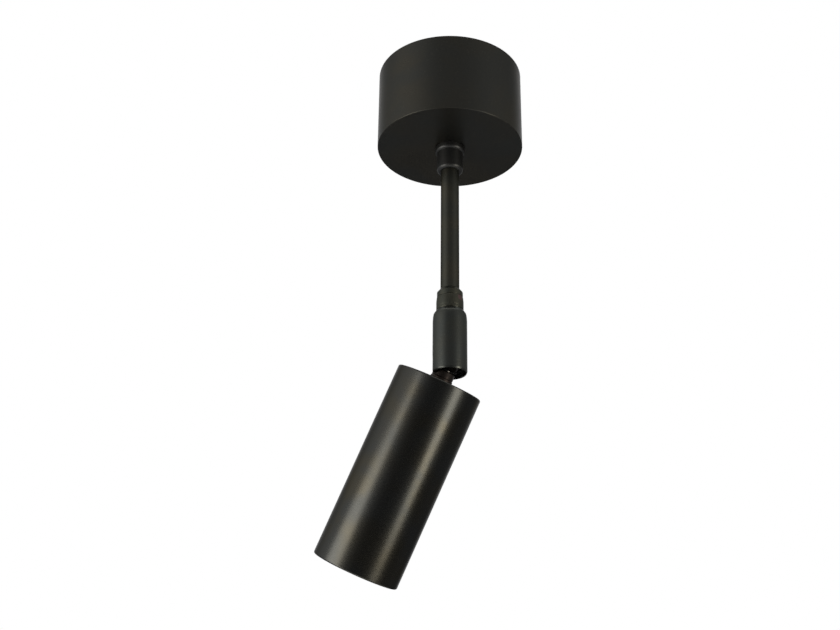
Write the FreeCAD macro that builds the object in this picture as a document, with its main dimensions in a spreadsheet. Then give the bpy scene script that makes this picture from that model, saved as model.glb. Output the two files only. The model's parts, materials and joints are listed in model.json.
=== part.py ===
import FreeCAD, Part
import math
import os
import re
import Sketcher

# Surface mounted ceiling spotlight: canopy, stem, ball joint and tubular lamp head.
# The origin is the centre of the ceiling plane, +Z is up, and everything hangs below it.
# Depths are measured down from the ceiling, "reach" distances from the ball's centre down the head's axis.

DRIVING = [
    # canopy and ceiling strap
    ("canopyRadius", 50.0), ("canopyHeight", 58.3), ("canopyWall", 1.5), ("canopyRound", 0.6),
    ("nippleWay", 5.1), ("canopyScrewWay", 2.2),
    ("canopyScrewDepth", 7.8), ("canopyScrewRadius", 2.0), ("canopyScrewLength", 6.6), ("screwSink", 0.4),
    ("strapThick", 1.5), ("strapWidth", 20.0), ("strapReach", 47.2), ("earDrop", 14.0), ("bendRadius", 1.2),
    ("slotSpacing", 72.0), ("slotWidth", 4.6), ("slotLength", 10.0),
    ("inletRadius", 6.0), ("bushBore", 4.0), ("bushFlange", 8.5), ("bushLip", 1.5),
    ("earthOffset", 15.0), ("earthHead", 3.8), ("earthHeadHeight", 2.4), ("earthWasher", 4.4),
    ("washerThick", 0.8),
    # terminal block
    ("blockStart", 10.0), ("blockDepthX", 14.0), ("blockWidth", 25.0), ("blockHeight", 12.0),
    ("polePitch", 8.0), ("poleHeight", 4.5), ("sleeveRadius", 2.3), ("sleeveBore", 1.7), ("sleeveInset", 1.0),
    ("poleScrew", 1.5), ("poleScrewLength", 3.0), ("poleScrewInset", 3.6), ("poleScrewSunk", 0.8),
    ("driverSlot", 0.6), ("waistWidth", 1.6), ("waistDepth", 2.0),
    ("blockScrew", 1.25), ("blockScrewHead", 2.1), ("blockScrewHeadHeight", 1.4), ("blockScrewSunk", 2.0),
    # nipple, collar and stem
    ("nippleRadius", 5.0), ("nippleBore", 3.5), ("nippleTop", 49.0), ("nippleBottom", 72.0),
    ("nippleWasher", 9.0), ("nippleWasherThick", 1.0), ("nippleNutFlats", 14.0), ("nippleNutThick", 4.0),
    ("flangeRadius", 10.2), ("flangeHeight", 4.6), ("flangeBevel", 1.0),
    ("collarRadius", 8.5), ("collarHeight", 14.3), ("collarBevel", 1.2), ("stemSocketTop", 68.0),
    ("stemRadius", 6.2), ("stemBottom", 178.5),
    # lock ring, swivel cap and what holds it in the socket
    ("lockTop", 166.6), ("lockHeight", 4.95), ("lockRadius", 8.48), ("lockSlope", 2.9),
    ("ringRadius", 8.93), ("ringBottom", 182.5), ("ringCrown", 2.45), ("ringNeck", 8.6), ("seamWidth", 0.2),
    ("spigotRadius", 6.5), ("spigotBottom", 192.5), ("wiringBore", 4.0), ("runningGap", 0.05),
    ("swivelNutRadius", 8.6), ("swivelWasherThick", 0.6), ("nutKeyWidth", 2.2), ("nutKeyDepth", 1.2),
    # ball socket
    ("socketRadius", 11.18), ("socketTop", 182.7), ("socketMouth", 226.3), ("socketBore", 9.9),
    ("roofDepth", 188.4), ("mouthBevel", 0.9), ("mouthRadius", 10.4), ("shoulderRadius", 9.05),
    ("grooveRadius", 10.35), ("seatGroove", 224.6), ("springGroove", 196.1), ("circlipThick", 1.0),
    ("circlipBore", 8.9), ("springBore", 6.4), ("springSheet", 0.9), ("springRise", 1.2),
    ("slotHalf", 7.4), ("seatRadius", 9.8), ("seatBore", 5.8), ("seatGap", 0.2),
    ("upperSeatTop", 203.2), ("upperSeatBottom", 214.8), ("lowerSeatTop", 215.6), ("lowerSeatBottom", 223.5),
    ("lowerSeatThroat", 7.5), ("lowerSeatMouth", 8.3), ("throatDepth", 221.6),
    # ball stud and the collar between it and the head
    ("pivotDepth", 217.0), ("ballRadius", 8.8), ("neckRadius", 5.4), ("stubStart", 8.4), ("stubRadius", 7.1),
    ("stubEnd", 12.3), ("stubBevel", 0.6), ("studBore", 3.0), ("funnelRadius", 6.4), ("funnelHeight", 6.0),
    ("headCollarRadius", 7.45), ("studRadius", 5.0), ("studEnd", 27.0),
    ("studWasher", 9.0), ("studNutFlats", 14.0), ("studNutThick", 5.0),
    # lamp head
    ("headStart", 15.7), ("headRadius", 28.4), ("headLength", 129.0), ("headWall", 1.5), ("headEdge", 0.5),
    ("capThick", 3.0), ("bridgeGap", 16.0), ("bridgeWidth", 12.0), ("bridgeSheet", 1.2), ("bridgeFoot", 8.0),
    ("holderStart", 36.0), ("holderRadius", 13.5), ("holderLength", 24.0), ("pinSpacing", 10.0),
    ("holderLeadSpacing", 6.0), ("holderScrewDepth", 4.8), ("bridgeWay", 4.5),
    ("smallScrew", 1.5), ("smallHead", 2.8), ("smallHeadHeight", 2.0), ("capBite", 2.0),
    ("pinRadius", 1.5), ("pinHead", 2.5), ("pinLength", 6.5), ("holderScrewPitch", 17.0),
    ("baseRadius", 12.3), ("baseLength", 16.0), ("lampLength", 47.0), ("lampRadius", 25.0),
    ("glassWall", 1.2), ("neckFlare", 17.2), ("neckFlareDrop", 20.5), ("bowlFlare", 21.6),
    ("bowlFlareDrop", 28.0), ("lampRim", 9.0), ("glassThick", 1.6),
    ("burnerRadius", 4.6), ("burnerLength", 20.0), ("burnerTip", 2.0), ("burnerTaper", 4.0),
    ("baffleStart", 107.3), ("baffleLength", 4.9), ("baffleBore", 23.4), ("baffleFlare", 25.0),
    ("baffleThroat", 2.2), ("ringGroove", 27.45), ("tagRadius", 3.4),
    ("ringWire", 1.2), ("ringBore", 25.0), ("headEarthOffset", 19.0),
    # leads and small screws
    ("leadRadius", 0.75), ("leadOffset", 1.1), ("screwTip", 0.3),
    # pose of the head: its tilt from straight down, and how far the tilt turns from -X towards +Y
    ("headTilt", 29.4), ("headTurn", 33.55),
]

doc = FreeCAD.newDocument("CeilingSpotlight")
sizes = doc.addObject("Spreadsheet::Sheet", "Sizes")
for row, (alias, number) in enumerate(DRIVING, 1):
    sizes.set("A%d" % row, alias)
    sizes.set("B%d" % row, str(number))
    sizes.setAlias("B%d" % row, alias)
doc.recompute()
aliases = [alias for alias, number in DRIVING]
nodes = []


def bound(text):
    # The same formula with each alias pointing at its cell in the sheet
    return re.sub(r"[A-Za-z]+", lambda word: "Sizes." + word[0] if word[0] in aliases else word[0], text)


def value(text):
    return float(sizes.evalExpression(text))


def vector(x, y, z):
    return FreeCAD.Vector(x, y, z)


# ---- where the head's pieces sit ----

tilt = math.radians(value("headTilt"))
turn = math.radians(value("headTurn"))
pivot = vector(0, 0, -value("pivotDepth"))
tiltAxis = vector(math.sin(turn), math.cos(turn), 0)
headTurning = FreeCAD.Rotation(tiltAxis, value("headTilt"))
headDown = headTurning.multVec(vector(0, 0, -1))


def hang(piece, depth):
    # A piece on the stem's axis, its own z = 0 at this depth below the ceiling
    piece.setExpression("Placement.Base.z", bound("-(" + depth + ")"))
    return piece


def reach(piece, distance):
    # A piece on the head's axis, its own z = 0 at this distance below the ball's centre
    piece.Placement = FreeCAD.Placement(pivot + headDown * value(distance), headTurning)
    return piece


def node(piece, label):
    piece.Label = label
    nodes.append(piece)
    return piece


# ---- ways of making a piece ----

def originPlane(body, role):
    return [feature for feature in body.Origin.OriginFeatures if feature.Role == role][0]


def drawOutline(sketch, corners):
    # A closed outline whose corners are formulas of the sheet's cells
    points = [vector(value(x), value(y), 0) for x, y in corners]
    count = len(points)
    for index in range(count):
        sketch.addGeometry(Part.LineSegment(points[index], points[(index + 1) % count]), False)
    for index in range(count):
        sketch.addConstraint(Sketcher.Constraint("Coincident", index, 2, (index + 1) % count, 1))
    for index, corner in enumerate(corners):
        for kind, axis, formula, size in (("DistanceX", -2, corner[0], points[index].x),
                                          ("DistanceY", -1, corner[1], points[index].y)):
            if abs(size) < 1e-9:
                sketch.addConstraint(Sketcher.Constraint("PointOnObject", index, 1, axis))
                continue
            number = sketch.addConstraint(Sketcher.Constraint(kind, -1, 1, index, 1, size))
            sketch.setExpression("Constraints[%d]" % number, bound(formula))


def outlineBody(name, role, corners):
    body = doc.addObject("PartDesign::Body", name)
    sketch = body.newObject("Sketcher::SketchObject", name + "_outline")
    sketch.AttachmentSupport = [(originPlane(body, role), "")]
    sketch.MapMode = "FlatFace"
    drawOutline(sketch, corners)
    return body, sketch


def turned(name, corners):
    # A piece turned on a lathe: corners are (radius, height) from the piece's lowest plane
    body, sketch = outlineBody(name, "XZ_Plane", corners)
    turning = body.newObject("PartDesign::Revolution", name + "_turning")
    turning.Profile = sketch
    turning.ReferenceAxis = (sketch, ["V_Axis"])
    turning.Angle = 360
    body.Tip = turning
    return body


def pressed(name, corners, width):
    # A sheet-metal piece: an outline seen along Y, padded evenly to both sides
    body, sketch = outlineBody(name, "XZ_Plane", corners)
    pad = body.newObject("PartDesign::Pad", name + "_pad")
    pad.Profile = sketch
    pad.Midplane = True
    pad.setExpression("Length", bound(width))
    body.Tip = pad
    return body


def rounded(body, radius, picks):
    # Rounds the edges whose middle lies on a picked (distance from the Z axis, height)
    doc.recompute()
    base = body.Tip
    names = []
    for index, edge in enumerate(base.Shape.Edges, 1):
        middle = edge.valueAt((edge.FirstParameter + edge.LastParameter) / 2)
        spot = (math.hypot(middle.x, middle.y), middle.z)
        if any(math.dist(spot, (value(x), value(z))) < 0.01 for x, z in picks):
            names.append("Edge%d" % index)
    rounding = body.newObject("PartDesign::Fillet", body.Name + "_rounding")
    rounding.Base = (base, names)
    rounding.setExpression("Radius", bound(radius))
    body.Tip = rounding
    return body


def cylinder(name, radius, height, base=("0", "0", "0"), direction=(0, 0, 1)):
    rod = doc.addObject("Part::Cylinder", name)
    rod.setExpression("Radius", bound(radius))
    rod.setExpression("Height", bound(height))
    spin = FreeCAD.Rotation(vector(0, 0, 1), vector(*direction))
    rod.Placement = FreeCAD.Placement(vector(*[value(text) for text in base]), spin)
    return rod


def block(name, length, width, height, corner):
    brick = doc.addObject("Part::Box", name)
    for side, formula in (("Length", length), ("Width", width), ("Height", height)):
        brick.setExpression(side, bound(formula))
    brick.Placement.Base = vector(*[value(text) for text in corner])
    return brick


def cut(name, body, tools):
    # Takes the tools out of the piece, one after another
    result = body
    for index, tool in enumerate(tools):
        step = doc.addObject("Part::Cut", "%s_cut%d" % (name, index))
        step.Base = result
        step.Tool = tool
        result = step
    return result


def joined(name, pieces):
    weld = doc.addObject("Part::MultiFuse", name)
    weld.Shapes = pieces
    return weld


def group(name, pieces):
    # Like pieces that share one node, each still a solid of its own
    bunch = doc.addObject("Part::Compound", name)
    bunch.Links = pieces
    return bunch


def hexNut(name, flats, bore, thick):
    prism = doc.addObject("Part::Prism", name + "_hexagon")
    prism.Polygon = 6
    prism.setExpression("Circumradius", bound("(%s) / sqrt(3)" % flats))
    prism.setExpression("Height", bound(thick))
    bevel = turned(name + "_bevel", [
        ("0", "0"), ("(%s) * 0.49" % flats, "0"), ("(%s) * 0.58" % flats, "(%s) * 0.12" % thick),
        ("(%s) * 0.58" % flats, "(%s) * 0.88" % thick), ("(%s) * 0.49" % flats, thick), ("0", thick)])
    blank = doc.addObject("Part::Common", name + "_blank")
    blank.Base = prism
    blank.Tool = bevel
    return cut(name, blank, [cylinder(name + "_thread", bore, thick)])


def slottedScrew(name, headRadius, headHeight, shankRadius, length):
    # Pan head screw pointing up: its head's flat underside is at z = 0 and the shank rises from there
    head = turned(name + "_head", [
        ("0", "-%s" % headHeight), ("%s * 0.72" % headRadius, "-%s" % headHeight),
        (headRadius, "-%s * 0.6" % headHeight), (headRadius, "0"), (shankRadius, "0"),
        (shankRadius, "%s - screwTip" % length), (shankRadius + " - screwTip", length), ("0", length)])
    groove = block(name + "_slot", "2.2 * " + headRadius, "1.5 * driverSlot", "0.5 * " + headHeight,
                   ("-1.1 * " + headRadius, "-0.75 * driverSlot", "-1.01 * " + headHeight))
    return cut(name, head, [groove])


def tubePath(points):
    # Straight runs joined by tangent arcs, each as large as its two runs allow
    share = 0.45
    edges = []
    last = points[0]
    for before, corner, after in zip(points, points[1:], points[2:]):
        into = (corner - before).normalize()
        out = (after - corner).normalize()
        half = into.getAngle(out) / 2
        setback = share * min((corner - before).Length, (after - corner).Length)
        start = corner - into * setback
        end = corner + out * setback
        radius = setback / math.tan(half)
        bisector = (out - into).normalize()
        middle = corner + bisector * (radius / math.cos(half) - radius)
        edges.append(Part.LineSegment(last, start).toShape())
        edges.append(Part.Arc(start, middle, end).toShape())
        last = end
    edges.append(Part.LineSegment(last, points[-1]).toShape())
    return Part.Wire(edges)


def leadShape(points):
    path = tubePath(points)
    radius = value("leadRadius")
    aim = (points[1] - points[0]).normalize()
    ring = Part.Wire([Part.makeCircle(radius, points[0], aim)])
    tube = path.makePipeShell([ring], True, False)
    expected = math.pi * radius ** 2 * path.Length
    print("lead of %.1f mm, volume %.3f of the plain tube" % (path.Length, tube.Volume / expected))
    return tube


def lead(name, routes):
    feature = doc.addObject("Part::Feature", name)
    tubes = [leadShape(points) for points in routes]
    feature.Shape = tubes[0] if len(tubes) == 1 else Part.makeCompound(tubes)
    return feature


# ---- canopy ----

def canopyCup():
    cup = turned("canopy_blank", [
        ("nippleWay", "0"), ("canopyRadius", "0"), ("canopyRadius", "canopyHeight"),
        ("canopyRadius - canopyWall", "canopyHeight"), ("canopyRadius - canopyWall", "canopyWall"),
        ("nippleWay", "canopyWall")])
    rounded(cup, "canopyRound", [("canopyRadius", "0")])
    hole = cylinder("canopy_screw_hole", "canopyScrewWay", "2 * canopyRadius + 4",
                    ("-canopyRadius - 2", "0", "canopyHeight - canopyScrewDepth"), (1, 0, 0))
    hang(node(cut("canopy_cup", cup, [hole]), "canopy_cup"), "canopyHeight")


def ceilingStrap():
    strap = pressed("strap_blank", [
        ("-strapReach", "-earDrop"), ("-strapReach", "0"), ("strapReach", "0"), ("strapReach", "-earDrop"),
        ("strapReach - strapThick", "-earDrop"), ("strapReach - strapThick", "-strapThick"),
        ("strapThick - strapReach", "-strapThick"), ("strapThick - strapReach", "-earDrop")], "strapWidth")
    rounded(strap, "bendRadius", [("strapReach", "0")])
    tools = [cylinder("strap_inlet", "inletRadius", "strapThick + 2", ("0", "0", "-strapThick - 1"))]
    tools.append(cylinder("strap_ears", "canopyScrewRadius", "2 * strapReach + 2",
                          ("-strapReach - 1", "0", "-canopyScrewDepth"), (1, 0, 0)))
    tools.append(cylinder("strap_earth", "canopyScrewRadius", "strapThick + 2",
                          ("-earthOffset", "0", "-strapThick - 1")))
    tools.append(cylinder("strap_block", "blockScrew", "strapThick + 2",
                          ("blockStart + blockDepthX / 2", "polePitch / 2", "-strapThick - 1")))
    for side in (-1, 1):
        centre = "%d * slotSpacing / 2" % side
        half = "(slotLength - slotWidth) / 2"
        tools.append(block("strap_slot", "slotLength - slotWidth", "slotWidth", "strapThick + 2",
                           (centre + " - " + half, "-slotWidth / 2", "-strapThick - 1")))
        for end in (-1, 1):
            tools.append(cylinder("strap_slot_end", "slotWidth / 2", "strapThick + 2",
                                  ("%s + %d * %s" % (centre, end, half), "0", "-strapThick - 1")))
    node(cut("ceiling_strap", strap, tools), "ceiling_strap")


def canopyScrews():
    # Hexagon socket set screws, sunk just below the canopy's surface
    screws = []
    for side in (-1, 1):
        name = "canopy_screw_left" if side < 0 else "canopy_screw_right"
        rod = cylinder(name + "_rod", "canopyScrewRadius", "canopyScrewLength")
        key = doc.addObject("Part::Prism", name + "_key")
        key.Polygon = 6
        key.setExpression("Circumradius", bound("canopyScrewRadius * 0.58"))
        key.setExpression("Height", bound("canopyScrewLength / 3"))
        screw = cut(name, rod, [key])
        start = vector(side * value("canopyRadius - screwSink"), 0, -value("canopyScrewDepth"))
        screw.Placement = FreeCAD.Placement(start, FreeCAD.Rotation(vector(0, 0, 1), vector(-side, 0, 0)))
        screws.append(screw)
    node(group("canopy_screws", screws), "canopy_screws")


def inletAndEarth():
    bush = turned("cable_bush", [
        ("bushBore", "0.4"), ("bushBore + 0.4", "0"), ("bushFlange - 0.5", "0"), ("bushFlange", "0.5"),
        ("bushFlange", "bushLip"), ("inletRadius", "bushLip"), ("inletRadius", "bushLip + strapThick"),
        ("bushBore", "bushLip + strapThick")])
    hang(node(bush, "cable_bush"), "strapThick + bushLip")
    washer = turned("earth_washer", [
        ("canopyScrewRadius", "0"), ("earthWasher", "0"), ("earthWasher", "washerThick"),
        ("canopyScrewRadius", "washerThick")])
    hang(node(washer, "earth_washer"), "strapThick + washerThick")
    washer.setExpression("Placement.Base.x", bound("-earthOffset"))
    screw = slottedScrew("earth_screw", "earthHead", "earthHeadHeight", "canopyScrewRadius",
                         "(washerThick + strapThick)")
    hang(node(screw, "earth_screw"), "strapThick + washerThick")
    screw.setExpression("Placement.Base.x", bound("-earthOffset"))


def terminalBlock():
    middle = "(blockStart + blockDepthX / 2)"
    floor = "(-strapThick - blockHeight)"
    body = block("terminal_blank", "blockDepthX", "blockWidth", "blockHeight",
                 ("blockStart", "-blockWidth / 2", floor))
    fixingSpot = (middle, "polePitch / 2", floor + " - 1")
    tools = [cylinder("terminal_screw_way", "blockScrew", "blockHeight + 2", fixingSpot)]
    tools.append(cylinder("terminal_screw_sink", "blockScrewHead", "blockScrewSunk + 1", fixingSpot))
    sleeves = []
    screws = []
    for pole in (-1, 0, 1):
        across = "%d * polePitch" % pole
        tools.append(cylinder("terminal_way", "sleeveRadius", "blockDepthX + 2",
                              ("blockStart - 1", across, floor + " + poleHeight"), (1, 0, 0)))
        sleeve = cylinder("sleeve_blank", "sleeveRadius", "blockDepthX - 2 * sleeveInset",
                          ("blockStart + sleeveInset", across, floor + " + poleHeight"), (1, 0, 0))
        ways = [cylinder("sleeve_way", "sleeveBore", "blockDepthX",
                         ("blockStart", across, floor + " + poleHeight"), (1, 0, 0))]
        for side in (-1, 1):
            spot = "%s + %d * poleScrewInset" % (middle, side)
            well = (spot, across, floor + " - 0.5")
            tools.append(cylinder("terminal_well", "poleScrew", "poleHeight", well))
            ways.append(cylinder("sleeve_well", "poleScrew", "poleHeight", well))
            sunk = floor + " + poleScrewSunk"
            rod = cylinder("pole_rod", "poleScrew", "poleScrewLength", (spot, across, sunk))
            groove = block("pole_slot", "2.4 * poleScrew", "driverSlot", "driverSlot",
                           (spot + " - 1.2 * poleScrew", across + " - driverSlot / 2", sunk))
            screws.append(cut("pole_screw", rod, [groove]))
        sleeves.append(cut("sleeve", sleeve, ways))
    for gap in (-1, 1):
        tools.append(block("terminal_waist", "blockDepthX + 2", "waistWidth", "waistDepth + 1",
                           ("blockStart - 1", "%d * polePitch / 2 - waistWidth / 2" % gap, floor + " - 1")))
    node(cut("terminal_block", body, tools), "terminal_block")
    node(group("terminal_sleeves", sleeves), "terminal_sleeves")
    node(group("terminal_screws", screws), "terminal_screws")
    fixing = slottedScrew("block_screw", "blockScrewHead", "blockScrewHeadHeight", "blockScrew",
                          "(blockHeight - blockScrewSunk + strapThick)")
    fixing.Placement.Base = vector(value(middle), value("polePitch / 2"), value(floor + " + blockScrewSunk"))
    node(fixing, "block_screw")


# ---- nipple, collar and stem ----

def stemParts():
    nipple = turned("nipple", [
        ("nippleBore", "0"), ("nippleRadius", "0"), ("nippleRadius", "nippleBottom - nippleTop"),
        ("nippleBore", "nippleBottom - nippleTop")])
    hang(node(nipple, "threaded_nipple"), "nippleBottom")
    washer = turned("nipple_washer", [
        ("nippleRadius", "0"), ("nippleWasher", "0"), ("nippleWasher", "nippleWasherThick"),
        ("nippleRadius", "nippleWasherThick")])
    hang(node(washer, "nipple_washer"), "canopyHeight - canopyWall")
    nut = hexNut("nipple_nut", "nippleNutFlats", "nippleRadius", "nippleNutThick")
    hang(node(nut, "nipple_nut"), "canopyHeight - canopyWall - nippleWasherThick")
    collar = turned("canopy_collar", [
        ("stemRadius", "0"), ("collarRadius - collarBevel", "0"), ("collarRadius", "collarBevel"),
        ("collarRadius", "collarHeight"), ("flangeRadius - flangeBevel", "collarHeight"),
        ("flangeRadius", "collarHeight + flangeBevel"), ("flangeRadius", "collarHeight + flangeHeight"),
        ("nippleRadius", "collarHeight + flangeHeight"),
        ("nippleRadius", "canopyHeight + flangeHeight + collarHeight - stemSocketTop"),
        ("stemRadius", "canopyHeight + flangeHeight + collarHeight - stemSocketTop")])
    hang(node(collar, "canopy_collar"), "canopyHeight + flangeHeight + collarHeight")
    stem = turned("stem_tube", [
        ("nippleRadius", "0"), ("stemRadius", "0"), ("stemRadius", "stemBottom - stemSocketTop"),
        ("nippleRadius", "stemBottom - stemSocketTop")])
    hang(node(stem, "stem_tube"), "stemBottom")
    lock = turned("lock_ring", [
        ("stemRadius", "0"), ("lockRadius", "0"), ("lockRadius", "lockHeight - lockSlope"),
        ("stemRadius + 0.2", "lockHeight"), ("stemRadius", "lockHeight")])
    hang(node(lock, "lock_ring"), "lockTop + lockHeight")


# ---- swivel cap and ball socket ----

def swivel():
    # The ring screws on the stem; its spigot hangs in the socket's roof, held by a round nut
    ringTop = "(spigotBottom - lockTop - lockHeight)"
    land = "(spigotBottom - ringBottom)"
    cap = turned("swivel_cap", [
        ("wiringBore", "0"), ("spigotRadius", "0"), ("spigotRadius", land), ("ringNeck", land),
        ("ringNeck", land + " + 0.45"), ("ringRadius", land + " + 0.45"),
        ("ringRadius", ringTop + " - seamWidth - ringCrown"), ("ringNeck", ringTop + " - seamWidth"),
        ("ringNeck - 0.35", ringTop + " - seamWidth"), ("ringNeck - 0.35", ringTop), ("stemRadius", ringTop),
        ("stemRadius", "spigotBottom - stemBottom"), ("wiringBore", "spigotBottom - stemBottom")])
    hang(node(cap, "swivel_cap"), "spigotBottom")
    washer = turned("swivel_washer", [
        ("spigotRadius", "0"), ("swivelNutRadius", "0"), ("swivelNutRadius", "swivelWasherThick"),
        ("spigotRadius", "swivelWasherThick")])
    hang(node(washer, "swivel_washer"), "roofDepth + runningGap + swivelWasherThick")
    thick = "(spigotBottom - roofDepth - runningGap - swivelWasherThick)"
    ring = turned("swivel_nut_blank", [
        ("spigotRadius", "0"), ("swivelNutRadius", "0"), ("swivelNutRadius", thick), ("spigotRadius", thick)])
    key = block("swivel_nut_key", "2 * swivelNutRadius + 2", "nutKeyWidth", "nutKeyDepth + 1",
                ("-swivelNutRadius - 1", "-nutKeyWidth / 2", "-1"))
    hang(node(cut("swivel_nut", ring, [key]), "swivel_nut"), "spigotBottom")


def circlip(name, bore, rim, thick):
    # Open ring with a gap between its ends
    ring = turned(name + "_ring", [(bore, "0"), (rim, "0"), (rim, thick), (bore, thick)])
    gap = block(name + "_gap", "2 * (%s)" % rim, "3", "(%s) + 2" % thick, ("0", "-1.5", "-1"))
    return cut(name, ring, [gap])


def slotted(name, piece, depth):
    # Cuts the slot that lets the stub swing out sideways: round at the ball's height, open downwards
    height = "(%s) - pivotDepth" % depth
    turnOut = FreeCAD.Rotation(vector(0, 0, 1), 180 - value("headTurn"))
    crown = cylinder(name + "_slot_crown", "slotHalf", "socketRadius + 2")
    crown.Placement = FreeCAD.Placement(vector(0, 0, value(height)),
                                        turnOut * FreeCAD.Rotation(vector(0, 1, 0), 90))
    tools = [crown]
    if value(height) > 0:
        bar = block(name + "_slot", "socketRadius + 2", "2 * slotHalf", "(%s) + 1" % height, ("0", "0", "-1"))
        bar.Placement = FreeCAD.Placement(turnOut.multVec(vector(0, -value("slotHalf"), -1)), turnOut)
        tools.append(bar)
    return cut(name, piece, tools)


def socket():
    def up(depth):
        return "(socketMouth - (%s))" % depth
    shell = turned("socket_shell", [
        ("socketBore", "0"), ("mouthRadius", "0"), ("socketRadius", "mouthBevel"),
        ("socketRadius", up("socketTop + 7.3")), ("socketRadius - 0.18", up("socketTop + 4.1")),
        ("socketRadius - 0.56", up("socketTop + 2.1")), ("shoulderRadius", up("socketTop")),
        ("spigotRadius + runningGap", up("socketTop")), ("spigotRadius + runningGap", up("roofDepth")),
        ("socketBore", up("roofDepth")), ("socketBore", up("springGroove - circlipThick")),
        ("grooveRadius", up("springGroove - circlipThick")), ("grooveRadius", up("springGroove")),
        ("socketBore", up("springGroove")), ("socketBore", up("seatGroove - circlipThick")),
        ("grooveRadius", up("seatGroove - circlipThick")), ("grooveRadius", up("seatGroove")),
        ("socketBore", up("seatGroove"))])
    hang(node(slotted("joint_socket", shell, "socketMouth"), "joint_socket"), "socketMouth")
    hang(node(circlip("spring_circlip", "springBore", "grooveRadius - 0.05", "circlipThick"),
              "spring_circlip"), "springGroove")
    ring = turned("seat_circlip_ring", [
        ("circlipBore", "0"), ("grooveRadius - 0.05", "0"), ("grooveRadius - 0.05", "circlipThick"),
        ("circlipBore", "circlipThick")])
    hang(node(slotted("seat_circlip", ring, "seatGroove"), "seat_circlip"), "seatGroove")


def discSprings():
    # Conical washers stacked edge to edge, pressing the upper seat on the ball
    count = 3
    room = value("upperSeatTop - springGroove")
    springs = []
    for index in range(count):
        low, high = ("0", "springRise") if index % 2 == 0 else ("springRise", "0")
        spring = turned("disc_spring%d" % index, [
            ("springBore - 1", low), ("seatRadius - 0.4", high),
            ("seatRadius - 0.4", high + " + springSheet"), ("springBore - 1", low + " + springSheet")])
        spring.Placement.Base.z = -value("upperSeatTop") + index * room / count
        springs.append(spring)
    node(group("disc_springs", springs), "disc_springs")


def seats():
    # Nylon seats above and below the ball, hollowed to its curve
    upperHeight = "(upperSeatBottom - upperSeatTop)"
    upper = turned("upper_seat_blank", [
        ("seatBore", "0"), ("seatRadius", "0"), ("seatRadius", upperHeight), ("seatBore", upperHeight)])
    lowerHeight = "(lowerSeatBottom - lowerSeatTop)"
    throat = "(lowerSeatBottom - throatDepth)"
    lower = turned("lower_seat_blank", [
        ("lowerSeatMouth", "0"), ("seatRadius", "0"), ("seatRadius", lowerHeight),
        ("lowerSeatThroat", lowerHeight), ("lowerSeatThroat", throat)])
    for name, blank in (("upper_seat", upper), ("lower_seat", lower)):
        depth = "upperSeatBottom" if blank is upper else "lowerSeatBottom"
        hollow = doc.addObject("Part::Sphere", name + "_hollow")
        hollow.setExpression("Radius", bound("ballRadius + seatGap"))
        hollow.setExpression("Placement.Base.z", bound(depth + " - pivotDepth"))
        hang(node(slotted(name, cut(name + "_round", blank, [hollow]), depth), name), depth)


def ballStud():
    # The ball, a short neck, the stub that shows below the socket and a threaded end inside the head
    ball = doc.addObject("Part::Sphere", "stud_ball")
    ball.setExpression("Radius", bound("ballRadius"))
    shank = turned("stud_shank", [
        ("0", "-studEnd"), ("studRadius - 0.4", "-studEnd"), ("studRadius", "0.4 - studEnd"),
        ("studRadius", "-stubEnd"), ("stubRadius", "-stubEnd"), ("stubRadius", "-stubStart"),
        ("stubRadius - stubBevel", "stubBevel - stubStart"), ("neckRadius", "stubBevel - stubStart"),
        ("neckRadius", "0"), ("0", "0")])
    bore = turned("stud_bore", [
        ("0", "-studEnd - 1"), ("studBore", "-studEnd - 1"), ("studBore", "1"),
        ("funnelRadius", "funnelHeight"), ("funnelRadius + 2", "ballRadius + 1"), ("0", "ballRadius + 1")])
    stud = cut("ball_stud", joined("stud_blank", [ball, shank]), [bore])
    reach(node(stud, "ball_stud"), "0")
    tall = "(headStart - runningGap - stubEnd)"
    collar = turned("head_collar", [
        ("studRadius", "0"), ("headCollarRadius", "0"), ("headCollarRadius", tall + " - 0.3"),
        ("headCollarRadius - 0.3", tall), ("studRadius", tall)])
    reach(node(collar, "head_collar"), "headStart - runningGap")
    under = "(headStart + capThick + runningGap)"
    washer = turned("stud_washer", [
        ("studRadius", "0"), ("studWasher", "0"), ("studWasher", "washerThick"),
        ("studRadius", "washerThick")])
    reach(node(washer, "stud_washer"), under + " + washerThick")
    nut = hexNut("stud_nut", "studNutFlats", "studRadius", "studNutThick")
    reach(node(nut, "stud_nut"), under + " + washerThick + studNutThick")


# ---- lamp head ----

def headOutline(corners):
    # Corners given as (radius, distance below the head's top face), turned into heights
    return [(radius, "-(%s)" % below) for radius, below in corners]


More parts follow.
